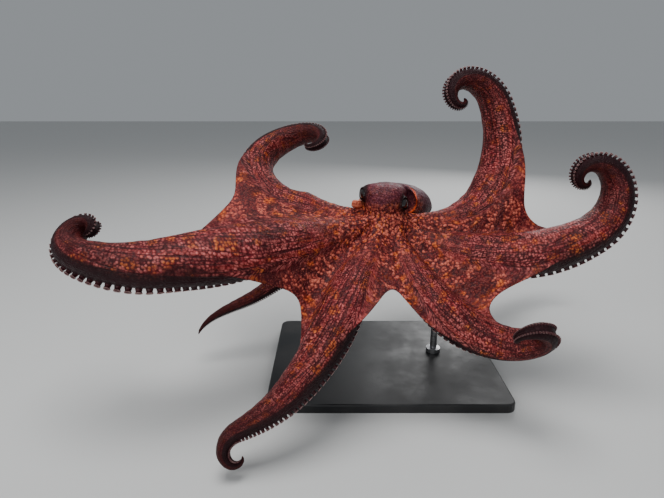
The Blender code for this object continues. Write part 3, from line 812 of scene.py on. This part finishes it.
eyes = {"left": eye_frame(1.0), "right": eye_frame(-1.0)}
fine = bmesh.new()
fine.from_mesh(skin_piece.data)
for place, out, along, up in eyes.values():
    near = [f for f in fine.faces
            if (f.calc_center_median() - place - out * 0.003).length < 0.0145]
    edges = list({e for f in near for e in f.edges})
    bmesh.ops.subdivide_edges(fine, edges=edges, cuts=1, use_grid_fill=True)
fine.to_mesh(skin_piece.data)
fine.free()
mesh = skin_piece.data
at = vectors_of(mesh.vertices, "co")
zones = vectors_of(mesh.attributes["zone"].data, "vector")
eye_ring_and_shade_mask = np.zeros(len(at))
for side, (place, out, along, up) in eyes.items():
    brow = np.array(place + UP * BROW_UP - out * BROW_IN)
    swell = BROW * np.exp(-(np.linalg.norm(at - brow, axis=1) / BROW_REACH) ** 2)
    at += swell[:, None] * np.array((UP * 0.8 + out * 0.6).normalized())
    away = at - np.array(place)
    w = away @ np.array(out)
    u = away @ np.array(along)
    v = away @ np.array(up)
    reach = np.hypot(u, v)
    shell = EYE_RADIUS + LID
    bend = 0.88 * shell
    dome = np.sqrt(np.maximum(shell ** 2 - np.minimum(reach, bend) ** 2, 0.0))
    dome -= np.maximum(reach - bend, 0.0) * 1.7
    oval = np.hypot(u / OPENING_LONG, v / OPENING_HIGH)
    rim = LID_RIM * np.exp(-((oval - 1.16) / 0.14) ** 2)
    outside = smooth_max(w, dome, 0.0022) + rim
    inside = np.sqrt(np.maximum((EYE_RADIUS - 0.0022) ** 2 - reach ** 2, 0.0)) - 0.0004
    open_share = 1.0 - ramp(oval, 0.90, 1.03)
    target = outside * (1.0 - open_share) + inside * open_share
    # only skin round the eye and not the funnel, whose mark is -2
    touched = (reach < LID_REACH) & (w > -0.004) & (w < 0.014) & (zones[:, 1] > -1.4)
    touched = touched * (1.0 - ramp(reach, 0.0150, LID_REACH))
    at += ((target - w) * touched)[:, None] * np.array(out)
    # mark for a near-black ring round the opening, taller than it: partly the skin's own dark
    # rim, partly painted shadow round the eye
    wide_oval = np.hypot(u / OPENING_LONG, v / (OPENING_HIGH * 1.25))
    eye_ring_and_shade_mask += 0.94 * touched * (1.0 - ramp(wide_oval, 1.05, 1.75))
mesh.vertices.foreach_set("co", at.ravel())
mesh.update()
mesh.attributes.new("lid", "FLOAT", "POINT").data.foreach_set("value", eye_ring_and_shade_mask)
print("skin with lids:", len(mesh.polygons), "faces")

# %% [markdown]
# ### Life in the surface
# Skin over muscle is never even.  Broad, shallow swellings run along the arms and the web,
# and across the mantle they become low warts.  The swellings follow the marks that unroll
# the animal, so they stretch along each arm as its muscles do.

# %% Swellings
SWELLING = 0.0011
marks = vectors_of(mesh.attributes["grain"].data, "vector")
normals = vectors_of(mesh.vertices, "normal")
eye_away = np.min([np.linalg.norm(at - np.array(e[0]), axis=1) for e in eyes.values()], axis=0)
calm = ramp(eye_away, 0.011, 0.020) * ramp(zones[:, 0], 0.35, 0.8)
arm_part = zones[:, 1] > 0.0
fade = np.where(arm_part, np.clip(1.25 - zones[:, 1], 0.15, 1.0), 1.0)
stretch = np.where(arm_part[:, None], marks * np.array((1.0, 1.0, 0.45)), at * 0.55)
lift = np.array([soft_noise(Vector(p * 95.0)) + 0.5 * soft_noise(Vector(p * 210.0))
                 for p in stretch])
at += normals * (SWELLING * lift * calm * fade)[:, None]
mesh.vertices.foreach_set("co", at.ravel())
mesh.update()
print("swellings up to", round(float(np.abs(SWELLING * lift).max()) * 1000, 2), "mm")

# %% [markdown]
# ### Eyes
# Under the lids sits a ball with a horizontal slit for a pupil, which an octopus keeps
# level whatever it does.  The iris is dark and mottled, darker still as painted shade.
# Each vertex keeps where it is on the ball, so that the finish can draw the slit.

# %% Eyeballs
FLESH = [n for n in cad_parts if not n.startswith(("stand_", "eye_"))]
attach(skin_piece, "root")
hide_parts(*FLESH)
eyeballs = []
for side, (place, out, along, up) in eyes.items():
    turn_to = Matrix((along, up, out)).transposed()
    ball = bmesh.new()
    bmesh.ops.create_uvsphere(ball, u_segments=40, v_segments=28, radius=EYE_RADIUS)
    bmesh.ops.scale(ball, vec=(1.0, 1.0, 0.97), verts=ball.verts)
    look = np.array([tuple(v.co / EYE_RADIUS) for v in ball.verts])
    bmesh.ops.transform(ball, matrix=Matrix.Translation(place) @ turn_to.to_4x4(),
                        verts=ball.verts)
    bmesh.ops.recalc_face_normals(ball, faces=ball.faces)
    eyeball = object_of("eyeball_" + side, ball)
    facing = eyeball.data.attributes.new("look", "FLOAT_VECTOR", "POINT")
    facing.data.foreach_set("vector", look.ravel())
    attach(eyeball, "root")
    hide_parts("eye_" + side)
    eyeballs.append(eyeball)
    print(side, "eye at", np.round(place, 4))

# %% [markdown]
# ### Suckers
# Each arm carries two rows of suckers, some thirteen hundred in all: a muscular stalk that
# widens into a cup with a soft, pale rim.  They shrink with the arm and stand closer toward
# the tip.  One cup is turned like a bowl on a lathe, by spinning its profile, and then set
# down again and again along the arm.

# %% One cup, turned
CUP_SIDES = 9
# (radius, height) in units of the cup's radius, from the root to the middle of the cup
CUP_PROFILE = ((0.98, -0.50), (0.84, 0.04), (0.74, 0.36), (0.96, 0.52), (0.90, 0.70),
               (0.55, 0.50), (0.0, 0.28))
cup_bm = bmesh.new()
profile = [cup_bm.verts.new((r, 0.0, z)) for r, z in CUP_PROFILE]
edges = [cup_bm.edges.new(pair) for pair in zip(profile, profile[1:])]
bmesh.ops.spin(cup_bm, geom=profile + edges, cent=(0, 0, 0), axis=(0, 0, 1),
               angle=2.0 * math.pi, steps=CUP_SIDES, use_merge=True)
bmesh.ops.remove_doubles(cup_bm, verts=cup_bm.verts, dist=1e-5)
bmesh.ops.recalc_face_normals(cup_bm, faces=cup_bm.faces)
if sum(f.normal.dot(f.calc_center_median()) for f in cup_bm.faces) < 0.0:
    bmesh.ops.reverse_faces(cup_bm, faces=cup_bm.faces)
cup_mesh = bpy.data.meshes.new("cup")
cup_bm.to_mesh(cup_mesh)
cup_marks = np.array([(v.co.z, math.hypot(v.co.x, v.co.y)) for v in cup_bm.verts])
cup_bm.free()
print("a cup has", len(cup_mesh.polygons), "faces")


# %% Suckers along the arms
SUCKER_MOST = 0.0045                 # radius of the largest
SUCKER_SHARE = 0.066                 # radius of the others, share of the arm's breadth
SUCKER_PITCH = 2.04                  # from one to the next, in radii
FIRST_SUCKER = 0.044                 # where a row starts; the second starts further out
ROW_SHIFT = 0.008


def sucker_side(arm, distance, place):
    """Place on the sucker side: 0 at the edge toward the arm before, 1 at the other."""
    point, along, up, across = (v[0] for v in frame_at(arm, np.array([distance])))
    wide = float(breadth(arm, distance))
    deep = float(depth(arm, distance))
    sideways = (2.0 * place - 1.0) * (EDGE_AT - 0.06) * wide
    height = 0.93 * float(bottom_height(place)) * deep
    return point + across * sideways + up * height, along, up, across


def suckers_of(arm):
    """Every sucker of an arm, as (matrix, share of the arm) pairs."""
    made = []
    for row, side in ((0, -1.0), (1, 1.0)):
        distance = FIRST_SUCKER + ROW_SHIFT * row
        while distance < arm["length"] - 0.004:
            wide = float(breadth(arm, distance))
            radius = min(SUCKER_MOST, SUCKER_SHARE * wide)
            lean = 0.45 + 0.35 * distance / arm["length"]
            place, along, up, across = sucker_side(arm, distance, 0.5 + side * 0.285)
            out = Vector(unit(-up + across * side * lean))
            forward = Vector(along)
            forward = (forward - out * forward.dot(out)).normalized()
            turn_to = Matrix((forward, out.cross(forward), out)).transposed().to_4x4()
            tall = radius * (0.75 + 0.70 * ramp(distance / arm["length"], 0.30, 0.75))
            size = Matrix.Diagonal((radius, radius, tall, 1.0))
            made.append((Matrix.Translation(Vector(place)) @ turn_to @ size,
                         distance / arm["length"]))
            distance += max(SUCKER_PITCH * radius, 0.0010)
    return made


sucker_pieces = []
for name in RING:
    row_bm = bmesh.new()
    shares = []
    for matrix, share in suckers_of(arms[name]):
        known = len(row_bm.verts)
        row_bm.from_mesh(cup_mesh)
        row_bm.verts.ensure_lookup_table()
        bmesh.ops.transform(row_bm, matrix=matrix, verts=row_bm.verts[known:])
        shares.append(share)
    piece = object_of("suckers_" + name[4:], row_bm)
    cup = piece.data.attributes.new("cup", "FLOAT_VECTOR", "POINT")
    value = np.zeros((len(shares) * len(cup_marks), 3))
    value[:, :2] = np.tile(cup_marks, (len(shares), 1))
    value[:, 2] = np.repeat(shares, len(cup_marks))
    cup.data.foreach_set("vector", value.ravel())
    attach(piece, "root")
    sucker_pieces.append(piece)
    print(piece.name, len(shares), "suckers,", len(piece.data.polygons), "faces")

# %% [markdown]
# ### The beak
# Deep in the lips sit the two horny halves of the beak, like a parrot's turned upside down.
# Only their tips show.  Each half is a cone bent over to a hook.

# %% Beak
beak_bm = bmesh.new()
for side, length in ((1.0, 0.0085), (-1.0, 0.0070)):
    known = set(beak_bm.verts)
    bmesh.ops.create_cone(beak_bm, cap_ends=True, segments=20, radius1=0.0042,
                          radius2=0.0006, depth=length)
    edges = [e for e in beak_bm.edges if e.verts[0] not in known
             and abs(e.verts[0].co.z - e.verts[1].co.z) > 0.001]
    bmesh.ops.subdivide_edges(beak_bm, edges=edges, cuts=5)
    half = [v for v in beak_bm.verts if v not in known]
    for vert in half:
        rise = vert.co.z / length + 0.5
        vert.co.x = vert.co.x * 0.75 + side * (0.0022 - 0.0034 * rise * rise)
    bmesh.ops.rotate(beak_bm, verts=half, cent=(0, 0, 0),
                     matrix=Matrix.Rotation(math.pi, 3, "X"))
turn_to = CROWN_AXIS.to_track_quat("Z", "Y").to_matrix().to_4x4()
bmesh.ops.transform(beak_bm, verts=beak_bm.verts,
                    matrix=Matrix.Translation(MOUTH - CROWN_AXIS * 0.0035) @ turn_to)
bmesh.ops.recalc_face_normals(beak_bm, faces=beak_bm.faces)
beak = object_of("beak", beak_bm)
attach(beak, "root")
print("beak:", len(beak.data.polygons), "faces")

# %% [markdown]
# ## Finishes
# Nothing here is a picture: every finish is worked out from noise and cells.  A small
# helper keeps the node trees short to write and to read.


# %% A painter's helper
def srgb(red, green, blue):
    """Colour as a paint card gives it (0 to 255), turned into light."""
    return tuple((c / 255.0) ** 2.2 for c in (red, green, blue)) + (1.0,)


class Paint:
    """A material, and short ways to add nodes to it."""

    def __init__(self, name):
        self.material = bpy.data.materials.new(name)
        self.material.use_nodes = True
        self.tree = self.material.node_tree
        self.shader = self.tree.nodes["Principled BSDF"]

    def put(self, socket, value):
        if isinstance(value, bpy.types.NodeSocket):
            self.tree.links.new(value, socket)
        elif value is not None:
            socket.default_value = value

    def new(self, kind, *values, **properties):
        """A node with these properties, and the values on its first sockets."""
        made = self.tree.nodes.new("ShaderNode" + kind)
        for key, value in properties.items():
            setattr(made, key, value)
        for socket, value in zip(made.inputs, values):
            self.put(socket, value)
        return made

    def node(self, kind, out=0, **values):
        """An output of a node, with the values on its named sockets."""
        made = self.new(kind)
        for key, value in values.items():
            self.put(made.inputs[key.replace("_", " ")], value)
        return made.outputs[out]

    def set(self, **values):
        for key, value in values.items():
            self.put(self.shader.inputs[key.replace("_", " ")], value)

    def math(self, operation, a, b=None):
        return self.new("Math", a, b, operation=operation).outputs[0]

    def times(self, first, *others):
        for other in others:
            first = self.math("MULTIPLY", first, other)
        return first

    def plus(self, a, b):
        return self.math("ADD", a, b)

    def step(self, value, start, end, low=0.0, high=1.0):
        """Smoothly from low at start to high at end."""
        return self.new("MapRange", value, start, end, low, high,
                        interpolation_type="SMOOTHSTEP").outputs[0]

    def mix(self, share, a, b):
        made = self.new("Mix", share, data_type="RGBA")
        self.put(made.inputs[6], a)
        self.put(made.inputs[7], b)
        return made.outputs[2]

    def over(self, under, tone, *shares):
        """A tone laid over another, by the product of the shares."""
        return self.mix(self.times(*shares), under, tone)

    def tones(self, value, start, end, a, b):
        """From tone a to tone b as the value goes from start to end."""
        return self.mix(self.step(value, start, end), a, b)

    def vector(self, operation, a, b):
        return self.new("VectorMath", a, b, operation=operation).outputs[0]

    def scaled(self, vector, by):
        return self.vector("MULTIPLY", vector, by)

    def noise(self, vector, scale, detail=2.0, rough=0.5, distortion=0.0):
        return self.node("TexNoise", 0, Vector=vector, Scale=scale, Detail=detail,
                         Roughness=rough, Distortion=distortion)

    def cells(self, vector, scale, out=0, randomness=1.0):
        return self.node("TexVoronoi", out, Vector=vector, Scale=scale, Randomness=randomness)

    def attribute(self, name, out=1):
        return self.new("Attribute", attribute_name=name).outputs[out]

    def parts(self, vector):
        return self.new("SeparateXYZ", vector).outputs

    def bump(self, height, distance, strength):
        return self.node("Bump", Height=height, Distance=distance, Strength=strength)

    def finish(self, *objects):
        for made in objects:
            made.data.materials.clear()
            made.data.materials.append(self.material)


# %% [markdown]
# ### Skin
# The colour of an octopus comes from thousands of tiny sacks of pigment, red, brown and
# yellow, which it opens and closes.  Between them the skin is cut by fine grooves into
# round grains, palest on the crown and the webs.  So the finish goes from coarse to fine:
# a maroon ground with dark clouds and orange patches, then the grains round the head, and
# last the arms, where grains are drawn out into rows with dark lines between them.

# %% Colours of the skin
GROUND_DARK = srgb(70, 6, 19)
GROUND = srgb(114, 22, 34)
CLOUD = srgb(50, 2, 18)
PATCH = srgb(190, 66, 34)
PINK = srgb(226, 120, 98)
ORANGE = srgb(232, 124, 62)
GROOVE = srgb(50, 2, 14)
STREAK = srgb(44, 2, 14)
EMBER = srgb(146, 42, 34)
WASH_PINK = srgb(146, 44, 40)
WASH_ORANGE = srgb(176, 62, 28)
FLECK = srgb(224, 122, 116)
TIP = srgb(52, 3, 13)
HEAD_DARK = srgb(62, 22, 36)
HEAD_PALE = srgb(104, 48, 62)
HEAD_SPECK = srgb(168, 110, 120)
MANTLE_DARK = srgb(46, 18, 34)
MANTLE_PALE = srgb(80, 36, 54)
LIP_TONE = srgb(206, 74, 24)
FUNNEL_PALE = srgb(206, 112, 84)
FUNNEL_DARK = srgb(150, 56, 44)
# near black round each eye: partly the skin's own dark rim, partly painted shade
EYE_RING_AND_SHADE = srgb(20, 2, 5)
UNDER_DARK = srgb(34, 2, 14)
UNDER_PALE = srgb(88, 28, 42)

# %% Skin finish
p = Paint("octopus_skin")
grain = p.attribute("grain")
upper_mark, share_mark, web_mark = p.parts(p.attribute("zone"))
here = p.node("TexCoord", 3)
height_here = p.parts(here)[2]
sway = p.node("TexNoise", 1, Vector=here, Scale=170.0, Detail=1.0)
sway = p.scaled(p.vector("SUBTRACT", sway, (0.5, 0.5, 0.5)), (0.0034, 0.0034, 0.0034))
swayed = p.vector("ADD", here, sway)
rows = p.scaled(grain, (1.0, 1.0, 0.55))
on_arm = p.times(p.step(share_mark, 0.10, 0.30), p.step(web_mark, 0.95, 0.3))
near_head = p.times(p.step(on_arm, 0.9, 0.1), p.step(share_mark, 0.75, 0.20, 0.55, 1.0))
lanes = p.noise(p.scaled(grain, (1.0, 1.0, 0.045)), 150.0, 1.0, 0.5)
lines = p.math("ABSOLUTE", p.plus(lanes, -0.5))

# ground, clouds and patches
clouds = p.noise(rows, 34.0, 3.0, 0.6, 0.6)
light = p.step(p.noise(p.scaled(grain, (1.0, 1.0, 0.60)), 82.0, 1.5, 0.5, 0.4), 0.42, 0.57)
fine_clouds = p.noise(rows, 90.0, 3.0, 0.62, 0.4)
ground = p.tones(clouds, 0.30, 0.70, GROUND_DARK, GROUND)
patch = p.cells(p.scaled(grain, (1.0, 1.0, 0.62)), 58.0, randomness=0.85)
patch = p.plus(patch, p.times(p.plus(fine_clouds, -0.5), 0.9))
patch = p.times(p.step(patch, 0.48, 0.14), p.step(on_arm, 1.3, 0.0, 0.25, 1.0))
ground = p.over(ground, CLOUD, p.step(fine_clouds, 0.47, 0.37), p.step(patch, 0.5, 0.0), 0.70)
ground = p.over(ground, PATCH, patch, p.step(light, 0.0, 1.0, 0.35, 1.0), 0.50)

# grains: round and pale in a dark net, each with a tint of its own
big = p.cells(swayed, 270.0)
tint = p.parts(p.cells(swayed, 270.0, out=1))[0]
small = p.cells(swayed, 460.0)
size = p.plus(big, p.times(tint, 0.14))
pebble_small = p.step(small, 0.50, 0.18)
grain_tone = p.tones(patch, 0.10, 0.75, PINK, ORANGE)
wash = p.tones(patch, 0.05, 0.60, WASH_PINK, WASH_ORANGE)
ground = p.over(ground, wash, light, near_head, 0.50)
ground = p.over(ground, GROOVE, p.step(size, 0.50, 0.74), near_head, 0.72)
bare = p.times(p.step(light, 1.0, 0.0), p.step(share_mark, -0.4, 0.06))
pebble = p.times(p.step(size, 0.70, 0.36), p.step(bare, 1.0, 0.0, 0.12, 1.0))
ground = p.over(ground, CLOUD, bare, 0.40)
ground = p.over(ground, grain_tone, pebble, near_head, p.step(tint, 1.0, 0.0, 0.25, 0.80))
ground = p.over(ground, grain_tone, pebble_small, 0.16)

# on the arms the grains are drawn out into rows, with dark lines and streaks between
drawn_out = p.scaled(grain, (1.0, 1.0, 0.60))
arm_grain = p.cells(drawn_out, 390.0, randomness=0.8)
arm_tint = p.parts(p.cells(drawn_out, 390.0, out=1, randomness=0.8))[0]
ground = p.over(ground, STREAK, p.step(lanes, 0.54, 0.66), on_arm, 0.40)
ground = p.over(ground, EMBER, p.step(lanes, 0.46, 0.36), on_arm, 0.34)
ground = p.over(ground, GROOVE, p.step(arm_grain, 0.50, 0.78), on_arm, 0.66)
ground = p.over(ground, STREAK, p.step(lines, 0.035, 0.008), on_arm, 0.66)
fleck = p.times(p.step(arm_grain, 0.62, 0.24), p.step(lines, 0.015, 0.05, 0.15, 1.0),
                p.step(bare, 1.0, 0.0, 0.46, 1.0), p.step(arm_tint, 1.0, 0.1, 0.26, 0.70), on_arm)
ground = p.mix(fleck, ground, p.tones(patch, 0.03, 0.25, FLECK, ORANGE))
ground = p.over(ground, TIP, p.step(share_mark, 0.52, 0.95), 0.86)

# head, mantle, lip of the opening, and funnel
on_body = p.step(share_mark, -0.10, -0.95)
head_tone = p.tones(p.noise(here, 55.0, 3.0), 0.35, 0.65, HEAD_DARK, HEAD_PALE)
head_tone = p.over(head_tone, GROOVE, p.step(small, 0.35, 0.62), 0.40)
head_tone = p.over(head_tone, HEAD_SPECK, pebble_small, 0.30)
ground = p.over(ground, head_tone, on_body, p.step(height_here, 0.238, 0.254), 0.86)
mantle_tone = p.tones(p.noise(here, 42.0, 4.0, 0.6), 0.36, 0.64, MANTLE_DARK, MANTLE_PALE)
mantle_tone = p.over(mantle_tone, HEAD_SPECK, pebble_small, 0.22)
ground = p.over(ground, mantle_tone, p.step(p.parts(here)[1], 0.010, 0.040), on_body, 0.92)
ground = p.over(ground, LIP_TONE, p.step(web_mark, 0.35, 0.95), on_body,
                p.step(height_here, 0.268, 0.254, 0.12, 0.85))
ground = p.tones(share_mark, -1.4, -1.8, ground,
                 p.tones(fine_clouds, 0.4, 0.6, FUNNEL_PALE, FUNNEL_DARK))
# the near-black ring round each eye: partly the skin's own dark rim, partly painted shade round
# the eye
ground = p.mix(p.attribute("lid", 2), ground, EYE_RING_AND_SHADE)

# sucker side, and the dark seam along the free edges
under_tone = p.tones(clouds, 0.3, 0.7, UNDER_DARK, UNDER_PALE)
under_tone = p.over(under_tone, GROOVE, p.step(size, 0.45, 0.70), 0.5)
ground = p.tones(upper_mark, 0.44, 0.24, ground, under_tone)
ground = p.over(ground, UNDER_DARK, p.step(upper_mark, 0.54, 0.44), 0.88)

# moist, pebbled surface
wet = p.noise(here, 130.0, 3.0)
relief = p.times(p.step(size, 0.75, 0.05), p.plus(p.times(near_head, 0.9), 0.20))
for part in (p.times(p.step(arm_grain, 0.75, 0.05), on_arm, 0.7),
             p.times(p.step(small, 0.7, 0.0), 0.30), p.noise(rows, 120.0, 3.0),
             p.times(p.step(lines, 0.05, 0.0), on_arm, -0.6)):
    relief = p.plus(relief, part)
p.set(Base_Color=ground, Roughness=p.step(wet, 0.3, 0.7, 0.48, 0.68),
      Normal=p.bump(relief, 0.0009, 0.9), Specular_IOR_Level=0.22)
p.finish(skin_piece)

# %% [markdown]
# ### Suckers, eyes, beak and stand
# A sucker is dark at the stalk and pale at the rim.  The eye is glossy as wet glass over a
# dark iris, darker still as painted shade.  The base is satin black with a trace of
# dust, the rods are brushed steel.

# %% Sucker finish
p = Paint("sucker_skin")
height, radius, share_mark = p.parts(p.attribute("cup"))
here = p.node("TexCoord", 3)
mottle = p.noise(here, 260.0, 3.0)
stalk = p.tones(mottle, 0.35, 0.65, srgb(36, 2, 12), srgb(76, 14, 28))
rim = p.tones(mottle, 0.35, 0.65, srgb(160, 104, 104), srgb(220, 186, 178))
tone = p.tones(height, 0.50, 0.68, stalk, rim)
tone = p.tones(radius, 0.62, 0.25, tone, srgb(76, 24, 36))
tone = p.over(tone, srgb(60, 8, 20), p.step(share_mark, 0.42, 0.75), 0.50)
p.set(Base_Color=tone, Roughness=p.step(mottle, 0.3, 0.7, 0.42, 0.6),
      Normal=p.bump(p.noise(here, 900.0, 2.0), 0.0004, 0.6))
p.finish(*sucker_pieces)

# %% Eye finish
p = Paint("eye_gloss")
along_eye, up_eye, out_eye = p.parts(p.attribute("look"))
long_way = p.math("POWER", p.math("ABSOLUTE", p.times(along_eye, 1.75)), 2.0)
high_way = p.math("POWER", p.math("ABSOLUTE", p.times(up_eye, 6.0)), 2.0)
slit = p.plus(long_way, high_way)
fibres = p.noise(p.attribute("look"), 16.0, 4.0, 0.7)
# a dark, mottled iris, made darker still as painted shade
iris = p.tones(fibres, 0.35, 0.65, srgb(12, 6, 8), srgb(44, 24, 16))
iris = p.tones(out_eye, 0.92, 0.62, iris, srgb(14, 5, 8))
tone = p.tones(slit, 0.75, 1.1, srgb(4, 4, 6), iris)
p.set(Base_Color=tone, Roughness=p.step(fibres, 0.3, 0.7, 0.06, 0.10), Coat_Weight=1.0,
      Coat_Roughness=0.03, Normal=p.bump(fibres, 0.00015, 0.3))
p.finish(*eyeballs)

# %% Beak finish
p = Paint("beak_horn")
here = p.node("TexCoord", 3)
growth = p.noise(p.scaled(here, (1.0, 1.0, 6.0)), 300.0, 3.0)
p.set(Base_Color=p.tones(growth, 0.35, 0.65, srgb(18, 10, 10), srgb(58, 34, 24)),
      Roughness=p.step(growth, 0.3, 0.7, 0.2, 0.35), Normal=p.bump(growth, 0.0003, 0.5))
p.finish(beak)

# %% Stand finishes
p = Paint("base_black")
here = p.node("TexCoord", 3)
dust = p.noise(here, 18.0, 5.0, 0.65)
peel = p.noise(here, 900.0, 2.0)
p.set(Base_Color=p.tones(dust, 0.4, 0.75, srgb(26, 26, 28), srgb(44, 43, 43)),
      Roughness=p.step(dust, 0.3, 0.7, 0.34, 0.52), Normal=p.bump(peel, 0.0002, 0.35))
p.finish(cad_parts["stand_base"])
p = Paint("rod_steel")
here = p.node("TexCoord", 3)
brush = p.noise(p.scaled(here, (1.0, 1.0, 30.0)), 60.0, 4.0, 0.7)
p.set(Base_Color=p.tones(brush, 0.35, 0.65, srgb(150, 150, 152), srgb(196, 196, 198)),
      Metallic=1.0, Roughness=p.step(brush, 0.3, 0.7, 0.24, 0.42),
      Normal=p.bump(brush, 0.0001, 0.4))
p.finish(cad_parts["stand_rod_left"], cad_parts["stand_rod_right"])
print("finishes:", [m.name for m in bpy.data.materials if m.users])

# %% [markdown]
# ## Floor and light
# A plain pale floor and soft light from large lamps, as in a studio.

# %% Floor and lights
floor_bm = bmesh.new()
bmesh.ops.create_grid(floor_bm, x_segments=1, y_segments=1, size=6.0)
floor = object_of("floor", floor_bm, smooth=False)
floor_paint = bpy.data.materials.new("floor_paint")
floor_paint.use_nodes = True
floor_shader = floor_paint.node_tree.nodes["Principled BSDF"]
floor_shader.inputs["Base Color"].default_value = (0.62, 0.62, 0.61, 1.0)
floor_shader.inputs["Roughness"].default_value = 0.8
floor.data.materials.append(floor_paint)


def lamp(name, place, aim, size, power):
    data = bpy.data.lights.new(name, "AREA")
    data.shape = "DISK"
    data.size = size
    data.energy = power
    made = bpy.data.objects.new(name, data)
    made.location = place
    made.rotation_euler = (Vector(aim) - Vector(place)).to_track_quat("-Z", "Y").to_euler()
    bpy.context.scene.collection.objects.link(made)


lamp("top_lamp", (-0.25, -0.15, 1.75), (0.0, 0.0, 0.2), 1.1, 22.0)
lamp("front_lamp", (-0.75, -1.7, 1.0), (0.0, 0.0, 0.2), 1.4, 13.0)
lamp("back_lamp", (0.6, 1.5, 0.9), (0.0, 0.0, 0.25), 0.9, 10.0)
world = bpy.data.worlds.new("studio")
world.use_nodes = True
world.node_tree.nodes["Background"].inputs["Color"].default_value = (0.80, 0.85, 0.90, 1.0)
world.node_tree.nodes["Background"].inputs["Strength"].default_value = 0.35
bpy.context.scene.world = world
